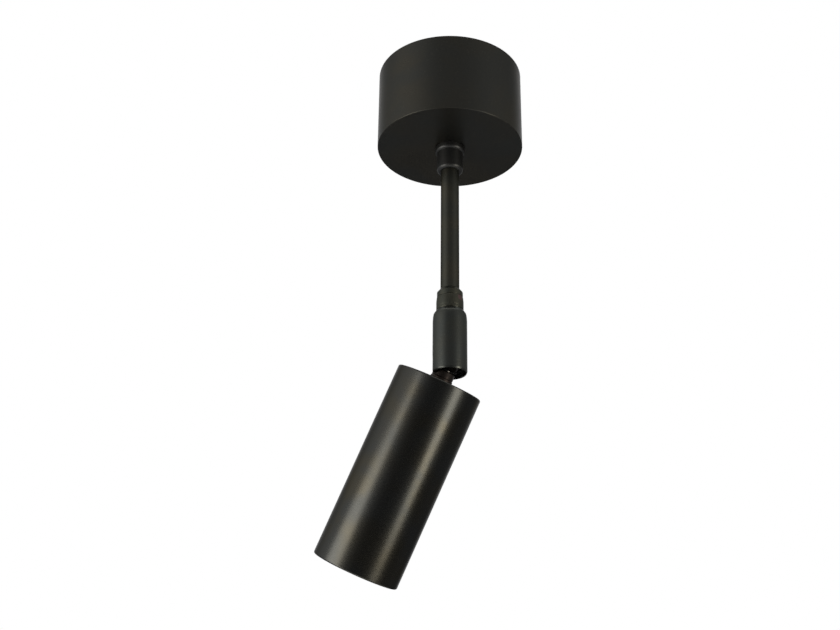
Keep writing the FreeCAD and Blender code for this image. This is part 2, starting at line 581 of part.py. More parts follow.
def headTube():
    inner = "headRadius - headWall"
    tube = turned("head_tube", headOutline([
        (inner, "0"), ("headRadius - headEdge", "0"), ("headRadius", "headEdge"),
        ("headRadius", "headLength - headEdge"), ("headRadius - headEdge", "headLength"),
        (inner, "headLength"), (inner, "baffleStart + baffleLength + ringWire"),
        ("ringGroove", "baffleStart + baffleLength + ringWire"), ("ringGroove", "baffleStart + baffleLength"),
        (inner, "baffleStart + baffleLength")]))
    reach(node(tube, "head_tube"), "headStart")
    cap = turned("head_cap_blank", headOutline([
        ("studRadius + runningGap", "0"), (inner, "0"), (inner, "capThick"),
        ("studRadius + runningGap", "capThick")]))
    ways = [cylinder("cap_earth_way", "smallScrew", "capBite", ("0", "headEarthOffset", "-capThick"))]
    for side in (-1, 1):
        ways.append(cylinder("cap_bridge_way", "smallScrew", "capBite",
                             ("%d * (bridgeGap + bridgeFoot / 2)" % side, "0", "-capThick")))
    reach(node(cut("head_cap", cap, ways), "head_cap"), "headStart")
    baffle = turned("front_baffle", headOutline([
        ("baffleBore", "baffleStart"), (inner + " - 0.05", "baffleStart"),
        (inner + " - 0.05", "baffleStart + baffleLength"), ("baffleFlare", "baffleStart + baffleLength"),
        ("baffleBore", "baffleStart + baffleThroat")]))
    reach(node(baffle, "front_baffle"), "headStart")
    ring = circlip("front_circlip", "ringBore", "ringGroove - 0.05", "ringWire")
    reach(node(ring, "front_circlip"), "headStart + baffleStart + baffleLength + ringWire")


def holderBridge():
    # A hat-shaped strip under the cap carries the lamp holder
    leg = "(bridgeGap - bridgeSheet)"
    toe = "(bridgeGap + bridgeFoot)"
    under = "(-capThick - bridgeSheet)"
    bridge = pressed("bridge_blank", [
        ("-" + toe, "-capThick"), ("-" + leg, "-capThick"), ("-" + leg, "bridgeSheet - holderStart"),
        (leg, "bridgeSheet - holderStart"), (leg, "-capThick"), (toe, "-capThick"), (toe, under),
        ("bridgeGap", under), ("bridgeGap", "-holderStart"), ("-bridgeGap", "-holderStart"),
        ("-bridgeGap", under), ("-" + toe, under)], "bridgeWidth")
    deep = "-holderStart - 1"
    tools = [cylinder("bridge_lead_way", "bridgeWay", "bridgeSheet + 2", ("0", "0", deep))]
    footScrews = []
    holderScrews = []
    turnOver = FreeCAD.Rotation(vector(1, 0, 0), 180)
    for side, name in ((-1, "left"), (1, "right")):
        foot = "%d * (bridgeGap + bridgeFoot / 2)" % side
        spot = "%d * holderScrewPitch / 2" % side
        tools.append(cylinder("bridge_foot_way", "smallScrew", "bridgeSheet + 2",
                              (foot, "0", under + " - 1")))
        tools.append(cylinder("bridge_holder_way", "smallScrew", "bridgeSheet + 2", (spot, "0", deep)))
        footScrew = slottedScrew("foot_screw_" + name, "smallHead", "smallHeadHeight", "smallScrew",
                                 "(capBite + bridgeSheet)")
        footScrew.Placement.Base = vector(value(foot), 0, value(under))
        footScrews.append(footScrew)
        holderScrew = slottedScrew("holder_screw_" + name, "smallHead", "smallHeadHeight", "smallScrew",
                                   "(holderScrewDepth + bridgeSheet)")
        underHead = vector(value(spot), 0, value("bridgeSheet - holderStart"))
        holderScrew.Placement = FreeCAD.Placement(underHead, turnOver)
        holderScrews.append(holderScrew)
    reach(node(cut("holder_bridge", bridge, tools), "holder_bridge"), "headStart")
    reach(node(group("bridge_screws", footScrews), "bridge_screws"), "headStart")
    reach(node(group("holder_screws", holderScrews), "holder_screws"), "headStart")


def lampHolder():
    top = "holderStart"
    bottom = "(holderStart + holderLength)"
    blank = turned("holder_blank", headOutline([
        ("0", top), ("holderRadius - 2", top), ("holderRadius", top + " + 2"),
        ("holderRadius", bottom + " - 1"), ("holderRadius - 1", bottom), ("0", bottom)]))
    screwDeep = "-holderStart - holderScrewDepth"
    tools = []
    for side in (-1, 1):
        tools.append(cylinder("holder_screw_way", "smallScrew", "holderScrewDepth",
                              ("%d * holderScrewPitch / 2" % side, "0", screwDeep)))
        tools.append(cylinder("holder_lead_way", "leadRadius", "holderScrewDepth",
                              ("%d * holderLeadSpacing / 2" % side, "0", screwDeep)))
        tools.append(cylinder("holder_pin_way", "pinHead + 0.4", "pinLength + 1.5",
                              ("0", "%d * pinSpacing / 2" % side, "-" + bottom)))
    reach(node(cut("lamp_holder", blank, tools), "lamp_holder"), "headStart")


def lamp():
    start = "(holderStart + holderLength)"
    foot = "(holderStart + holderLength + baseLength)"
    face = "(holderStart + holderLength + lampLength)"
    base = turned("lamp_base", headOutline([
        ("0", start), ("baseRadius - 1", start), ("baseRadius", start + " + 1"), ("baseRadius", foot),
        ("0", foot)]))
    reach(node(base, "lamp_base"), "headStart")
    pins = []
    for side in (-1, 1):
        spot = "%d * pinSpacing / 2" % side
        stalk = cylinder("pin_stalk", "pinRadius", "pinLength", ("0", spot, "-" + start))
        head = cylinder("pin_head", "pinHead", "2", ("0", spot, "-%s + pinLength - 2" % start))
        pins.append(joined("lamp_pin", [stalk, head]))
    reach(node(group("lamp_pins", pins), "lamp_pins"), "headStart")
    # The reflector shell flares from the base to the front rim
    bowl = start + " + bowlFlareDrop"
    neck = start + " + neckFlareDrop"
    shell = turned("lamp_shell", headOutline([
        ("baseRadius", foot), ("neckFlare", neck), ("bowlFlare", bowl), ("lampRadius", face + " - lampRim"),
        ("lampRadius", face), ("lampRadius - glassWall", face),
        ("lampRadius - glassWall", face + " - lampRim + glassWall / 2"),
        ("bowlFlare - glassWall", bowl + " + glassWall / 2"),
        ("neckFlare - glassWall", neck + " + glassWall / 2"),
        ("baseRadius - 3", foot + " + glassWall"), ("baseRadius - 3", foot)]))
    reach(node(shell, "lamp_shell"), "headStart")
    glass = turned("lamp_glass", headOutline([
        ("0", face + " - glassThick"), ("lampRadius - glassWall", face + " - glassThick"),
        ("lampRadius - glassWall", face), ("0", face)]))
    reach(node(glass, "lamp_glass"), "headStart")
    burner = turned("lamp_burner", headOutline([
        ("0", foot), ("burnerRadius", foot), ("burnerRadius", foot + " + burnerLength - burnerTaper"),
        ("burnerTip", foot + " + burnerLength"), ("0", foot + " + burnerLength")]))
    reach(node(burner, "lamp_burner"), "headStart")


def headEarth():
    tag = turned("earth_tag", headOutline([
        ("smallScrew", "capThick"), ("tagRadius", "capThick"), ("tagRadius", "capThick + washerThick"),
        ("smallScrew", "capThick + washerThick")]))
    screw = slottedScrew("head_earth_screw", "smallHead", "smallHeadHeight", "smallScrew",
                         "(capBite + washerThick)")
    offset = headTurning.multVec(vector(0, value("headEarthOffset"), 0))
    for piece, drop in ((tag, "0"), (screw, "capThick + washerThick")):
        spot = pivot + headDown * value("headStart + " + drop) + offset
        piece.Placement = FreeCAD.Placement(spot, headTurning)
    node(tag, "head_earth_tag")
    node(screw, "head_earth_screw")


# ---- internal leads ----

def coreSpot(core):
    # Each core keeps its own corner of a triangle round the axis
    angle = math.radians(90 + 120 * core)
    return vector(math.cos(angle), math.sin(angle), 0) * value("leadOffset")


def leads():
    level = -value("strapThick + blockHeight - poleHeight")
    blockEnd = value("blockStart + blockDepthX")
    flexTop = -value("spigotBottom")
    stemEntry = 29.0
    # Down the canopy: how far past the block's end, share of the pole's offset, and drop below the pole
    sweep = [(-3.0, 1.0, 0.0), (4.5, 1.0, 0.0), (7.0, 0.9, 8.0), (-1.0, 0.6, 17.0), (-14.0, 0.3, 22.0)]
    straight = 5.0
    tagRun = [(7.0, 11.0), (14.0, 9.0), (18.0, 3.0), (16.4, -3.0)]
    bore = value("studEnd - 1")
    start = bore - value("headStart")
    holder = value("holderStart")
    across = []
    inside = []
    for core, name in enumerate(("earth", "neutral", "live")):
        spot = coreSpot(core)
        pole = value("polePitch") * (1, 0, -1)[core]
        route = [vector(blockEnd + out, pole * share, level - drop) for out, share, drop in sweep]
        route += [spot + vector(0, 0, level - stemEntry), spot + vector(0, 0, flexTop)]
        node(lead("stem_lead_" + name, [route]), name + "_lead")
        # Across the joint each lead bends into the ball's bore, and runs on to the stud's end
        turnedSpot = headTurning.multVec(spot)
        funnel = pivot - headDown * value("funnelHeight") + turnedSpot
        entry = pivot + headDown + turnedSpot
        across.append([spot + vector(0, 0, flexTop), spot + vector(0, 0, flexTop - 8), funnel, entry])
        inside.append([entry, pivot + headDown * bore + turnedSpot])
        # In the head the earth goes round to its tag, the other two into the lamp holder
        local = [spot + vector(0, 0, -start), spot + vector(0, 0, -start - straight)]
        if name == "earth":
            local += [vector(0, out, -start - drop) for out, drop in tagRun]
        else:
            side = value("holderLeadSpacing / 2") * (0, -1, 1)[core]
            local += [vector(side, 0, 7 - holder), vector(side, 0, -4 - holder)]
        placed = [pivot + headDown * value("headStart") + headTurning.multVec(point) for point in local]
        node(lead("head_lead_" + name, [placed]), "head_" + name + "_lead")
    node(lead("joint_leads", across), "joint_leads")
    node(lead("stud_leads", inside), "stud_leads")


canopyCup()
ceilingStrap()
canopyScrews()
inletAndEarth()
terminalBlock()
stemParts()
swivel()
socket()
discSprings()
seats()
ballStud()
headTube()
holderBridge()
lampHolder()
lamp()
headEarth()
leads()

doc.recompute()
for piece in doc.Objects:
    if "Invalid" in piece.State or "Error" in piece.State:
        raise SystemExit("%s did not build: %s" % (piece.Label, piece.State))
for piece in nodes:
    if piece.Shape.isNull() or not piece.Shape.isValid():
        raise SystemExit("%s has no valid shape" % piece.Label)

os.makedirs("parts", exist_ok=True)
for piece in nodes:
    piece.Shape.exportStep("parts/" + piece.Label + ".step")
print(len(nodes), "nodes written")
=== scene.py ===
import json
import math
import bmesh
import bpy
from mathutils import Matrix, Vector


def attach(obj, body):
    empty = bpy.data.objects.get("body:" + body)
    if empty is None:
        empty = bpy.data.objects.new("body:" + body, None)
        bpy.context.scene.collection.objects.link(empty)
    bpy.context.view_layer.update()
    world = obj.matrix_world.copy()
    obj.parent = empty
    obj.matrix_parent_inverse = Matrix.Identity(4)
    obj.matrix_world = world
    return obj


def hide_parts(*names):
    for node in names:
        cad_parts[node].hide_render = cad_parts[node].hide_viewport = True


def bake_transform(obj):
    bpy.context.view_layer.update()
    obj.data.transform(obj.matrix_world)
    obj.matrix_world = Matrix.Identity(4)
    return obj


# Surface mounted ceiling spotlight in dark patinated brass.
# Profiles are (radius, height) in millimetres, turned round the stem's axis or the head's axis.

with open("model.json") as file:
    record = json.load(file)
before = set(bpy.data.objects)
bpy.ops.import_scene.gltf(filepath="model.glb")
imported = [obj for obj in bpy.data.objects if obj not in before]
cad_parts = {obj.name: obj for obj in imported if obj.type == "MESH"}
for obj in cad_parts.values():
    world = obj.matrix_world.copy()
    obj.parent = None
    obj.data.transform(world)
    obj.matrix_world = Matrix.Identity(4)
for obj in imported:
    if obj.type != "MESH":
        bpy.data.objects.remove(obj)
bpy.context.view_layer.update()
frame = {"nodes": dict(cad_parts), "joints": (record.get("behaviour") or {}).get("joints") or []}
mm = 0.001
weldDistance = 0.000001
joints = {joint["name"]: joint for joint in frame["joints"]}
pivot = Vector(joints["stud_tilt"]["pos_m"])
tiltAxis = Vector(joints["stud_tilt"]["axis"]).normalized()
headDown = Vector(joints["head_turn"]["axis"]).normalized()
headTilt = headDown.angle(Vector((0, 0, -1)))
print("frame loaded:", len(frame["nodes"]), "nodes, head tilted", round(math.degrees(headTilt), 1))


def hung(depth):
    # Height 0 of the piece lies this many millimetres below the ceiling
    return Matrix.Translation((0, 0, -depth * mm))


def onHead(reach):
    # Height 0 of the piece lies this far down the head's axis from the ball's centre
    turned = Matrix.Rotation(headTilt, 4, tiltAxis)
    return Matrix.Translation(pivot + headDown * reach * mm) @ turned


cameraView = {"place": (0, -0.7341, -0.5303), "pitch": 25.16, "focalPixels": 1250.0,
              "frameWidth": 840, "frameHeight": 630, "centreX": 449.92, "centreY": 315.5,
              "sensor": 36.0, "near": 0.01}


def addCamera(view):
    data = bpy.data.cameras.new("camera")
    data.sensor_width = view["sensor"]
    data.lens = view["focalPixels"] * view["sensor"] / view["frameWidth"]
    data.shift_x = (view["frameWidth"] / 2 - view["centreX"]) / view["frameWidth"]
    data.shift_y = (view["centreY"] - view["frameHeight"] / 2) / view["frameWidth"]
    data.clip_start = view["near"]
    camera = bpy.data.objects.new("camera", data)
    camera.location = view["place"]
    camera.rotation_euler = (math.radians(90 + view["pitch"]), 0, 0)
    bpy.context.scene.collection.objects.link(camera)
    bpy.context.scene.camera = camera


studio = {
    "aim": (-0.02, 0.01, -0.22),
    # azimuth counts from the camera's side towards +X, elevation up from level, both in degrees
    "boxes": [
        {"name": "leftSoftBox", "azimuth": -60.6, "elevation": -11.5, "away": 1.3, "width": 0.88,
         "height": 1.15, "radiance": 4.55, "colour": (1.0, 0.975, 0.90)},
        {"name": "rightSoftBox", "azimuth": 58.2, "elevation": -12.2, "away": 1.3, "width": 0.43,
         "height": 1.14, "radiance": 6.6, "colour": (1.0, 0.965, 0.86)},
    ],
}


def around(azimuth, elevation):
    turn, lift = math.radians(azimuth), math.radians(elevation)
    return Vector((math.sin(turn) * math.cos(lift), -math.cos(turn) * math.cos(lift),
                   math.sin(lift)))


def addSoftBox(box, aim):
    data = bpy.data.lights.new(box["name"], "AREA")
    data.shape = "RECTANGLE"
    data.size, data.size_y = box["width"], box["height"]
    data.energy = box["radiance"] * math.pi * box["width"] * box["height"]
    data.color = box["colour"]
    light = bpy.data.objects.new(box["name"], data)
    out = around(box["azimuth"], box["elevation"])
    light.location = Vector(aim) + out * box["away"]
    light.rotation_euler = out.to_track_quat("Z", "Y").to_euler()
    light.visible_camera = False
    bpy.context.scene.collection.objects.link(light)


socketTypes = {"RGBA": "RGBA", "FLOAT": "VALUE"}


def feed(tree, target, value):
    # Links an output, or writes a number or a colour
    if isinstance(value, bpy.types.NodeSocket):
        tree.links.new(value, target)
    else:
        target.default_value = (*value, 1) if isinstance(value, tuple) else value


def mathNode(tree, operation, *values, clamp=False):
    node = tree.nodes.new("ShaderNodeMath")
    node.operation = operation
    node.use_clamp = clamp
    for target, value in zip(node.inputs, values):
        feed(tree, target, value)
    return node.outputs[0]


def noiseNode(tree, place, scale, detail, roughness, distortion=0.0):
    node = tree.nodes.new("ShaderNodeTexNoise")
    for label, value in (("Vector", place), ("Scale", scale), ("Detail", detail),
                         ("Roughness", roughness), ("Distortion", distortion)):
        feed(tree, node.inputs[label], value)
    return node.outputs["Fac"]


def rangeNode(tree, value, low, high, outLow=0.0, outHigh=1.0):
    node = tree.nodes.new("ShaderNodeMapRange")
    node.interpolation_type = "SMOOTHSTEP"
    for label, number in (("Value", value), ("From Min", low), ("From Max", high),
                          ("To Min", outLow), ("To Max", outHigh)):
        feed(tree, node.inputs[label], number)
    return node.outputs[0]


def mixNode(tree, mask, first, second, kind="RGBA"):
    node = tree.nodes.new("ShaderNodeMix")
    node.data_type = kind

    def named(sockets, name):
        return next(socket for socket in sockets
                    if socket.name == name and socket.type == socketTypes[kind])

    feed(tree, node.inputs["Factor"], mask)
    feed(tree, named(node.inputs, "A"), first)
    feed(tree, named(node.inputs, "B"), second)
    return named(node.outputs, "Result")


room = {
    # Brightness below and above eye level: a plain part, and what each direction adds to it
    "low": {"plain": 0.105, "adds": {"left": 0.32, "right": -0.03, "back": 0.18},
            "colour": (0.93, 0.97, 1.05)},
    "high": {"plain": 0.33, "adds": {"left": 0.72, "right": 0.30, "back": 0.03, "top": 1.6},
             "colour": (0.99, 1.0, 0.99)},
    # The axis of each direction, and where along it the share is none and where it is whole
    "spans": {"left": ("X", -0.2, -0.95), "right": ("X", 0.2, 0.95), "back": ("Y", -0.2, 0.8),
              "behind": ("Y", 0.38, 0.68), "up": ("Z", -0.1, 0.5), "above": ("Z", -0.1, 0.15),
              "top": ("Z", 0.74, 0.92)},
}


def brightness(tree, level, shares):
    total = level["plain"]
    for side, weight in level["adds"].items():
        total = mathNode(tree, "MULTIPLY_ADD", shares[side], weight, total)
    return total


def addRoom(light):
    world = bpy.data.worlds.new("room")
    bpy.context.scene.world = world
    world.use_nodes = True
    tree = world.node_tree
    tree.nodes.clear()
    output = tree.nodes.new("ShaderNodeOutputWorld")
    pick = tree.nodes.new("ShaderNodeMixShader")
    dim = tree.nodes.new("ShaderNodeBackground")
    white = tree.nodes.new("ShaderNodeBackground")
    path = tree.nodes.new("ShaderNodeLightPath")
    coords = tree.nodes.new("ShaderNodeTexCoord")
    split = tree.nodes.new("ShaderNodeSeparateXYZ")
    tree.links.new(coords.outputs["Generated"], split.inputs[0])
    shares = {name: rangeNode(tree, split.outputs[axis], none, whole)
              for name, (axis, none, whole) in light["spans"].items()}
    low, high = light["low"], light["high"]
    feed(tree, dim.inputs["Strength"], mixNode(
        tree, shares["up"], brightness(tree, low, shares), brightness(tree, high, shares), "FLOAT"))
    feed(tree, dim.inputs["Color"], mixNode(tree, shares["up"], low["colour"], high["colour"]))
    feed(tree, white.inputs["Color"], (1, 1, 1))
    # Camera and glass see the white background whole, metal sees it where it lies behind the object
    backdrop = mathNode(tree, "MULTIPLY", shares["behind"], shares["above"])
    shine = mathNode(tree, "MULTIPLY", path.outputs["Is Glossy Ray"], backdrop)
    direct = mathNode(tree, "ADD", path.outputs["Is Camera Ray"], shine)
    seen = mathNode(tree, "ADD", direct, path.outputs["Is Transmission Ray"], clamp=True)
    for target, source in zip(pick.inputs, (seen, dim.outputs[0], white.outputs[0])):
        tree.links.new(source, target)
    tree.links.new(pick.outputs[0], output.inputs["Surface"])


ground = {"drop": 1.8, "width": 2.8, "colour": (0.86, 0.86, 0.85), "roughness": 0.9}


def addFloor(size):
    floor = bmesh.new()
    bmesh.ops.create_grid(floor, x_segments=1, y_segments=1, size=size["width"] / 2)
    bmesh.ops.translate(floor, verts=floor.verts, vec=(0, 0, -size["drop"]))
    mesh = bpy.data.meshes.new("floor")
    floor.to_mesh(mesh)
    floor.free()
    plane = bpy.data.objects.new("floor", mesh)
    bpy.context.scene.collection.objects.link(plane)
    material = bpy.data.materials.new("floorPaint")
    material.use_nodes = True
    paint = material.node_tree.nodes["Principled BSDF"]
    paint.inputs["Base Color"].default_value = (*size["colour"], 1)
    paint.inputs["Roughness"].default_value = size["roughness"]
    mesh.materials.append(material)


addCamera(cameraView)
for softBox in studio["boxes"]:
    addSoftBox(softBox, studio["aim"])
addRoom(room)
addFloor(ground)
bpy.context.scene.view_settings.view_transform = "Standard"
print("camera, room and light in place")


def newGroup(name, inputs, outputs):
    group = bpy.data.node_groups.new(name, "ShaderNodeTree")
    for side, sockets in (("INPUT", inputs), ("OUTPUT", outputs)):
        for label, kind in sockets.items():
            group.interface.new_socket(label, in_out=side, socket_type="NodeSocket" + kind)
    return group, group.nodes.new("NodeGroupInput"), group.nodes.new("NodeGroupOutput")


# A noise is given as its scale, where that is fixed, then detail, roughness and distortion.
# A span is given as the values it runs between.
patina = {"cloudNoise": (2.5, 0.5, 0.4), "cloudSpan": (0.38, 0.66),
          "speckNoise": (900.0, 2.0, 0.6), "speckSpan": (0.60, 0.74)}


def buildPatinaClouds(look):
    # Slow clouds in the patina where the brass shows warmer, and fine specks
    group, given, result = newGroup(
        "patinaClouds",
        {"Place": "Vector", "Dark": "Color", "Warm": "Color", "Cloud Scale": "Float",
         "Warmth": "Float", "Specks": "Float"},
        {"Color": "Color", "Cloud": "Float", "Speck": "Float"})
    place = given.outputs["Place"]
    clouds = noiseNode(group, place, given.outputs["Cloud Scale"], *look["cloudNoise"])
    mask = mathNode(group, "MULTIPLY", rangeNode(group, clouds, *look["cloudSpan"]),
                    given.outputs["Warmth"], clamp=True)
    fine = noiseNode(group, place, *look["speckNoise"])
    speck = mathNode(group, "MULTIPLY", rangeNode(group, fine, *look["speckSpan"]),
                     given.outputs["Specks"], clamp=True)
    colour = mixNode(group, mask, given.outputs["Dark"], given.outputs["Warm"])
    for label, value in (("Color", colour), ("Cloud", mask), ("Speck", speck)):
        group.links.new(value, result.inputs[label])
    return group


rubbingAndSheen = {"samples": 6, "edgeSpan": (0.02, 0.16), "breakNoise": (260.0, 3.0, 0.6),
           "breakSpan": (0.35, 0.62, 0.25, 1.0)}


def buildEdgeWearAndSheen(look):
    # Rubbed corners and painted edge highlights: a lighter colour where the rounded normal leaves
    # the true one, broken up by noise
    group, given, result = newGroup(
        "edgeWearAndSheen", {"Place": "Vector", "Width": "Float", "Amount": "Float"}, {"Mask": "Float"})
    bevel = group.nodes.new("ShaderNodeBevel")
    bevel.samples = look["samples"]
    group.links.new(given.outputs["Width"], bevel.inputs["Radius"])
    geometry = group.nodes.new("ShaderNodeNewGeometry")
    dot = group.nodes.new("ShaderNodeVectorMath")
    dot.operation = "DOT_PRODUCT"
    for target, source in zip(dot.inputs, (bevel, geometry)):
        group.links.new(source.outputs["Normal"], target)
    leaving = mathNode(group, "SUBTRACT", 1.0, dot.outputs["Value"])
    chips = noiseNode(group, given.outputs["Place"], *look["breakNoise"])
    broken = mathNode(group, "MULTIPLY", rangeNode(group, leaving, *look["edgeSpan"]),
                      rangeNode(group, chips, *look["breakSpan"]))
    mask = mathNode(group, "MULTIPLY", broken, given.outputs["Amount"], clamp=True)
    group.links.new(mask, result.inputs["Mask"])
    return group


turning = {"run": 14.0, "noise": (1.0, 2.0, 0.6)}


def buildTurningLines(look):
    # Fine rings left by the lathe or by brushing: noise drawn out round the piece's own Z axis
    group, given, result = newGroup(
        "turningLines", {"Place": "Vector", "Rings": "Float"}, {"Lines": "Float"})
    split = group.nodes.new("ShaderNodeSeparateXYZ")
    group.links.new(given.outputs["Place"], split.inputs[0])
    across, along, axial = split.outputs
    angle = mathNode(group, "ARCTAN2", along, across)
    turn = mathNode(group, "MULTIPLY", mathNode(group, "SINE", angle), look["run"])
    swing = mathNode(group, "MULTIPLY", mathNode(group, "COSINE", angle), look["run"])
    radius = mathNode(group, "SQRT", mathNode(
        group, "ADD", mathNode(group, "MULTIPLY", across, across),
        mathNode(group, "MULTIPLY", along, along)))
    height = mathNode(group, "MULTIPLY", mathNode(group, "ADD", axial, radius),
                      given.outputs["Rings"])
    join = group.nodes.new("ShaderNodeCombineXYZ")
    for target, source in zip(join.inputs, (turn, swing, height)):
        group.links.new(source, target)
    group.links.new(noiseNode(group, join.outputs[0], *look["noise"]), result.inputs["Lines"])
    return group


rubbedMark = {"noise": (700.0, 3.0, 0.6), "ripple": 0.9, "span": (0.95, 1.5, 1.0, 0.0)}


def buildRubbedSpot(look):
    # One rubbed place: a soft ball round a point, its outline broken by noise
    group, given, result = newGroup(
        "rubbedSpot", {"Place": "Vector", "Centre": "Vector", "Size": "Float"}, {"Mask": "Float"})
    away = group.nodes.new("ShaderNodeVectorMath")
    away.operation = "DISTANCE"
    for target, label in zip(away.inputs, ("Place", "Centre")):
        group.links.new(given.outputs[label], target)
    share = mathNode(group, "DIVIDE", away.outputs["Value"], given.outputs["Size"])
    ripple = mathNode(group, "MULTIPLY", noiseNode(group, given.outputs["Place"], *look["noise"]),
                      look["ripple"])
    mask = rangeNode(group, mathNode(group, "ADD", share, ripple), *look["span"])
    group.links.new(mask, result.inputs["Mask"])
    return group


groups = {"clouds": buildPatinaClouds(patina), "wearAndSheen": buildEdgeWearAndSheen(rubbingAndSheen),
          "lines": buildTurningLines(turning), "spot": buildRubbedSpot(rubbedMark)}
print("node groups built")


def startMaterial(name):
    material = bpy.data.materials.new(name)
    material.use_nodes = True
    tree = material.node_tree
    return material, tree, tree.nodes["Principled BSDF"]


def placeOutput(tree, onHeadAxis=False):
    # Object coordinates, turned so that Z runs along the piece's own axis
    coords = tree.nodes.new("ShaderNodeTexCoord")
    if not onHeadAxis:
        return coords.outputs["Object"]
    mapping = tree.nodes.new("ShaderNodeMapping")
    mapping.vector_type = "TEXTURE"
    mapping.inputs["Location"].default_value = pivot
    mapping.inputs["Rotation"].default_value = Matrix.Rotation(headTilt, 4, tiltAxis).to_euler()
    tree.links.new(coords.outputs["Object"], mapping.inputs["Vector"])
    return mapping.outputs[0]


def useGroup(tree, name, place, values):
    node = tree.nodes.new("ShaderNodeGroup")
    node.node_tree = groups[name]
    tree.links.new(place, node.inputs["Place"])
    for label, value in values.items():
        node.inputs[label].default_value = (*value, 1) if label in ("Dark", "Warm") else value
    return node


def addBump(tree, shader, height, distance):
    bump = tree.nodes.new("ShaderNodeBump")
    bump.inputs["Distance"].default_value = distance
    tree.links.new(height, bump.inputs["Height"])
    tree.links.new(bump.outputs["Normal"], shader.inputs["Normal"])


# Most of a noise lies between these values
noiseSpan = (0.3, 0.7)


def spreadRoughness(tree, grain, middle, spread):
    return rangeNode(tree, grain, *noiseSpan, middle - spread, middle + spread)


def metalColour(tree, place, finish):
    # Clouds and specks in the colour, and over them rubbed corners that also paint edge highlights
    clouds = useGroup(tree, "clouds", place, {
        "Dark": finish["dark"], "Warm": finish["warm"], "Cloud Scale": finish["cloudScale"],
        "Warmth": finish["warmth"], "Specks": finish["specks"]})
    wearAndSheen = useGroup(tree, "wearAndSheen", place, {"Width": finish["wearAndSheenWidth"], "Amount": finish["wearAndSheen"]})
    colour = mixNode(tree, clouds.outputs["Speck"], clouds.outputs["Color"], finish["speckColour"])
    return mixNode(tree, wearAndSheen.outputs["Mask"], colour, finish["rubbedAndSheen"]), clouds.outputs["Cloud"]


def patinatedBrass(name, finish):
    material, tree, shader = startMaterial(name)
    place = placeOutput(tree, finish.get("onHead", False))
    colour, cloud = metalColour(tree, place, finish)
    for spot in finish.get("spots", []):
        mark = useGroup(tree, "spot", place, {"Centre": spot["centre"], "Size": spot["size"]})
        colour = mixNode(tree, mark.outputs["Mask"], colour, spot["colour"])
    tree.links.new(colour, shader.inputs["Base Color"])
    shader.inputs["Metallic"].default_value = finish["metallic"]
    shader.inputs["Specular Tint"].default_value = (*[finish["edgeShine"]] * 3, 1)
    lines = useGroup(tree, "lines", place, {"Rings": finish["rings"]}).outputs["Lines"]
    rough = spreadRoughness(tree, lines, finish["roughness"], finish["roughSpread"])
    tree.links.new(mathNode(tree, "MULTIPLY_ADD", cloud, -finish["roughCloud"], rough),
                   shader.inputs["Roughness"])
    addBump(tree, shader, lines, finish["lineDepth"])
    return material
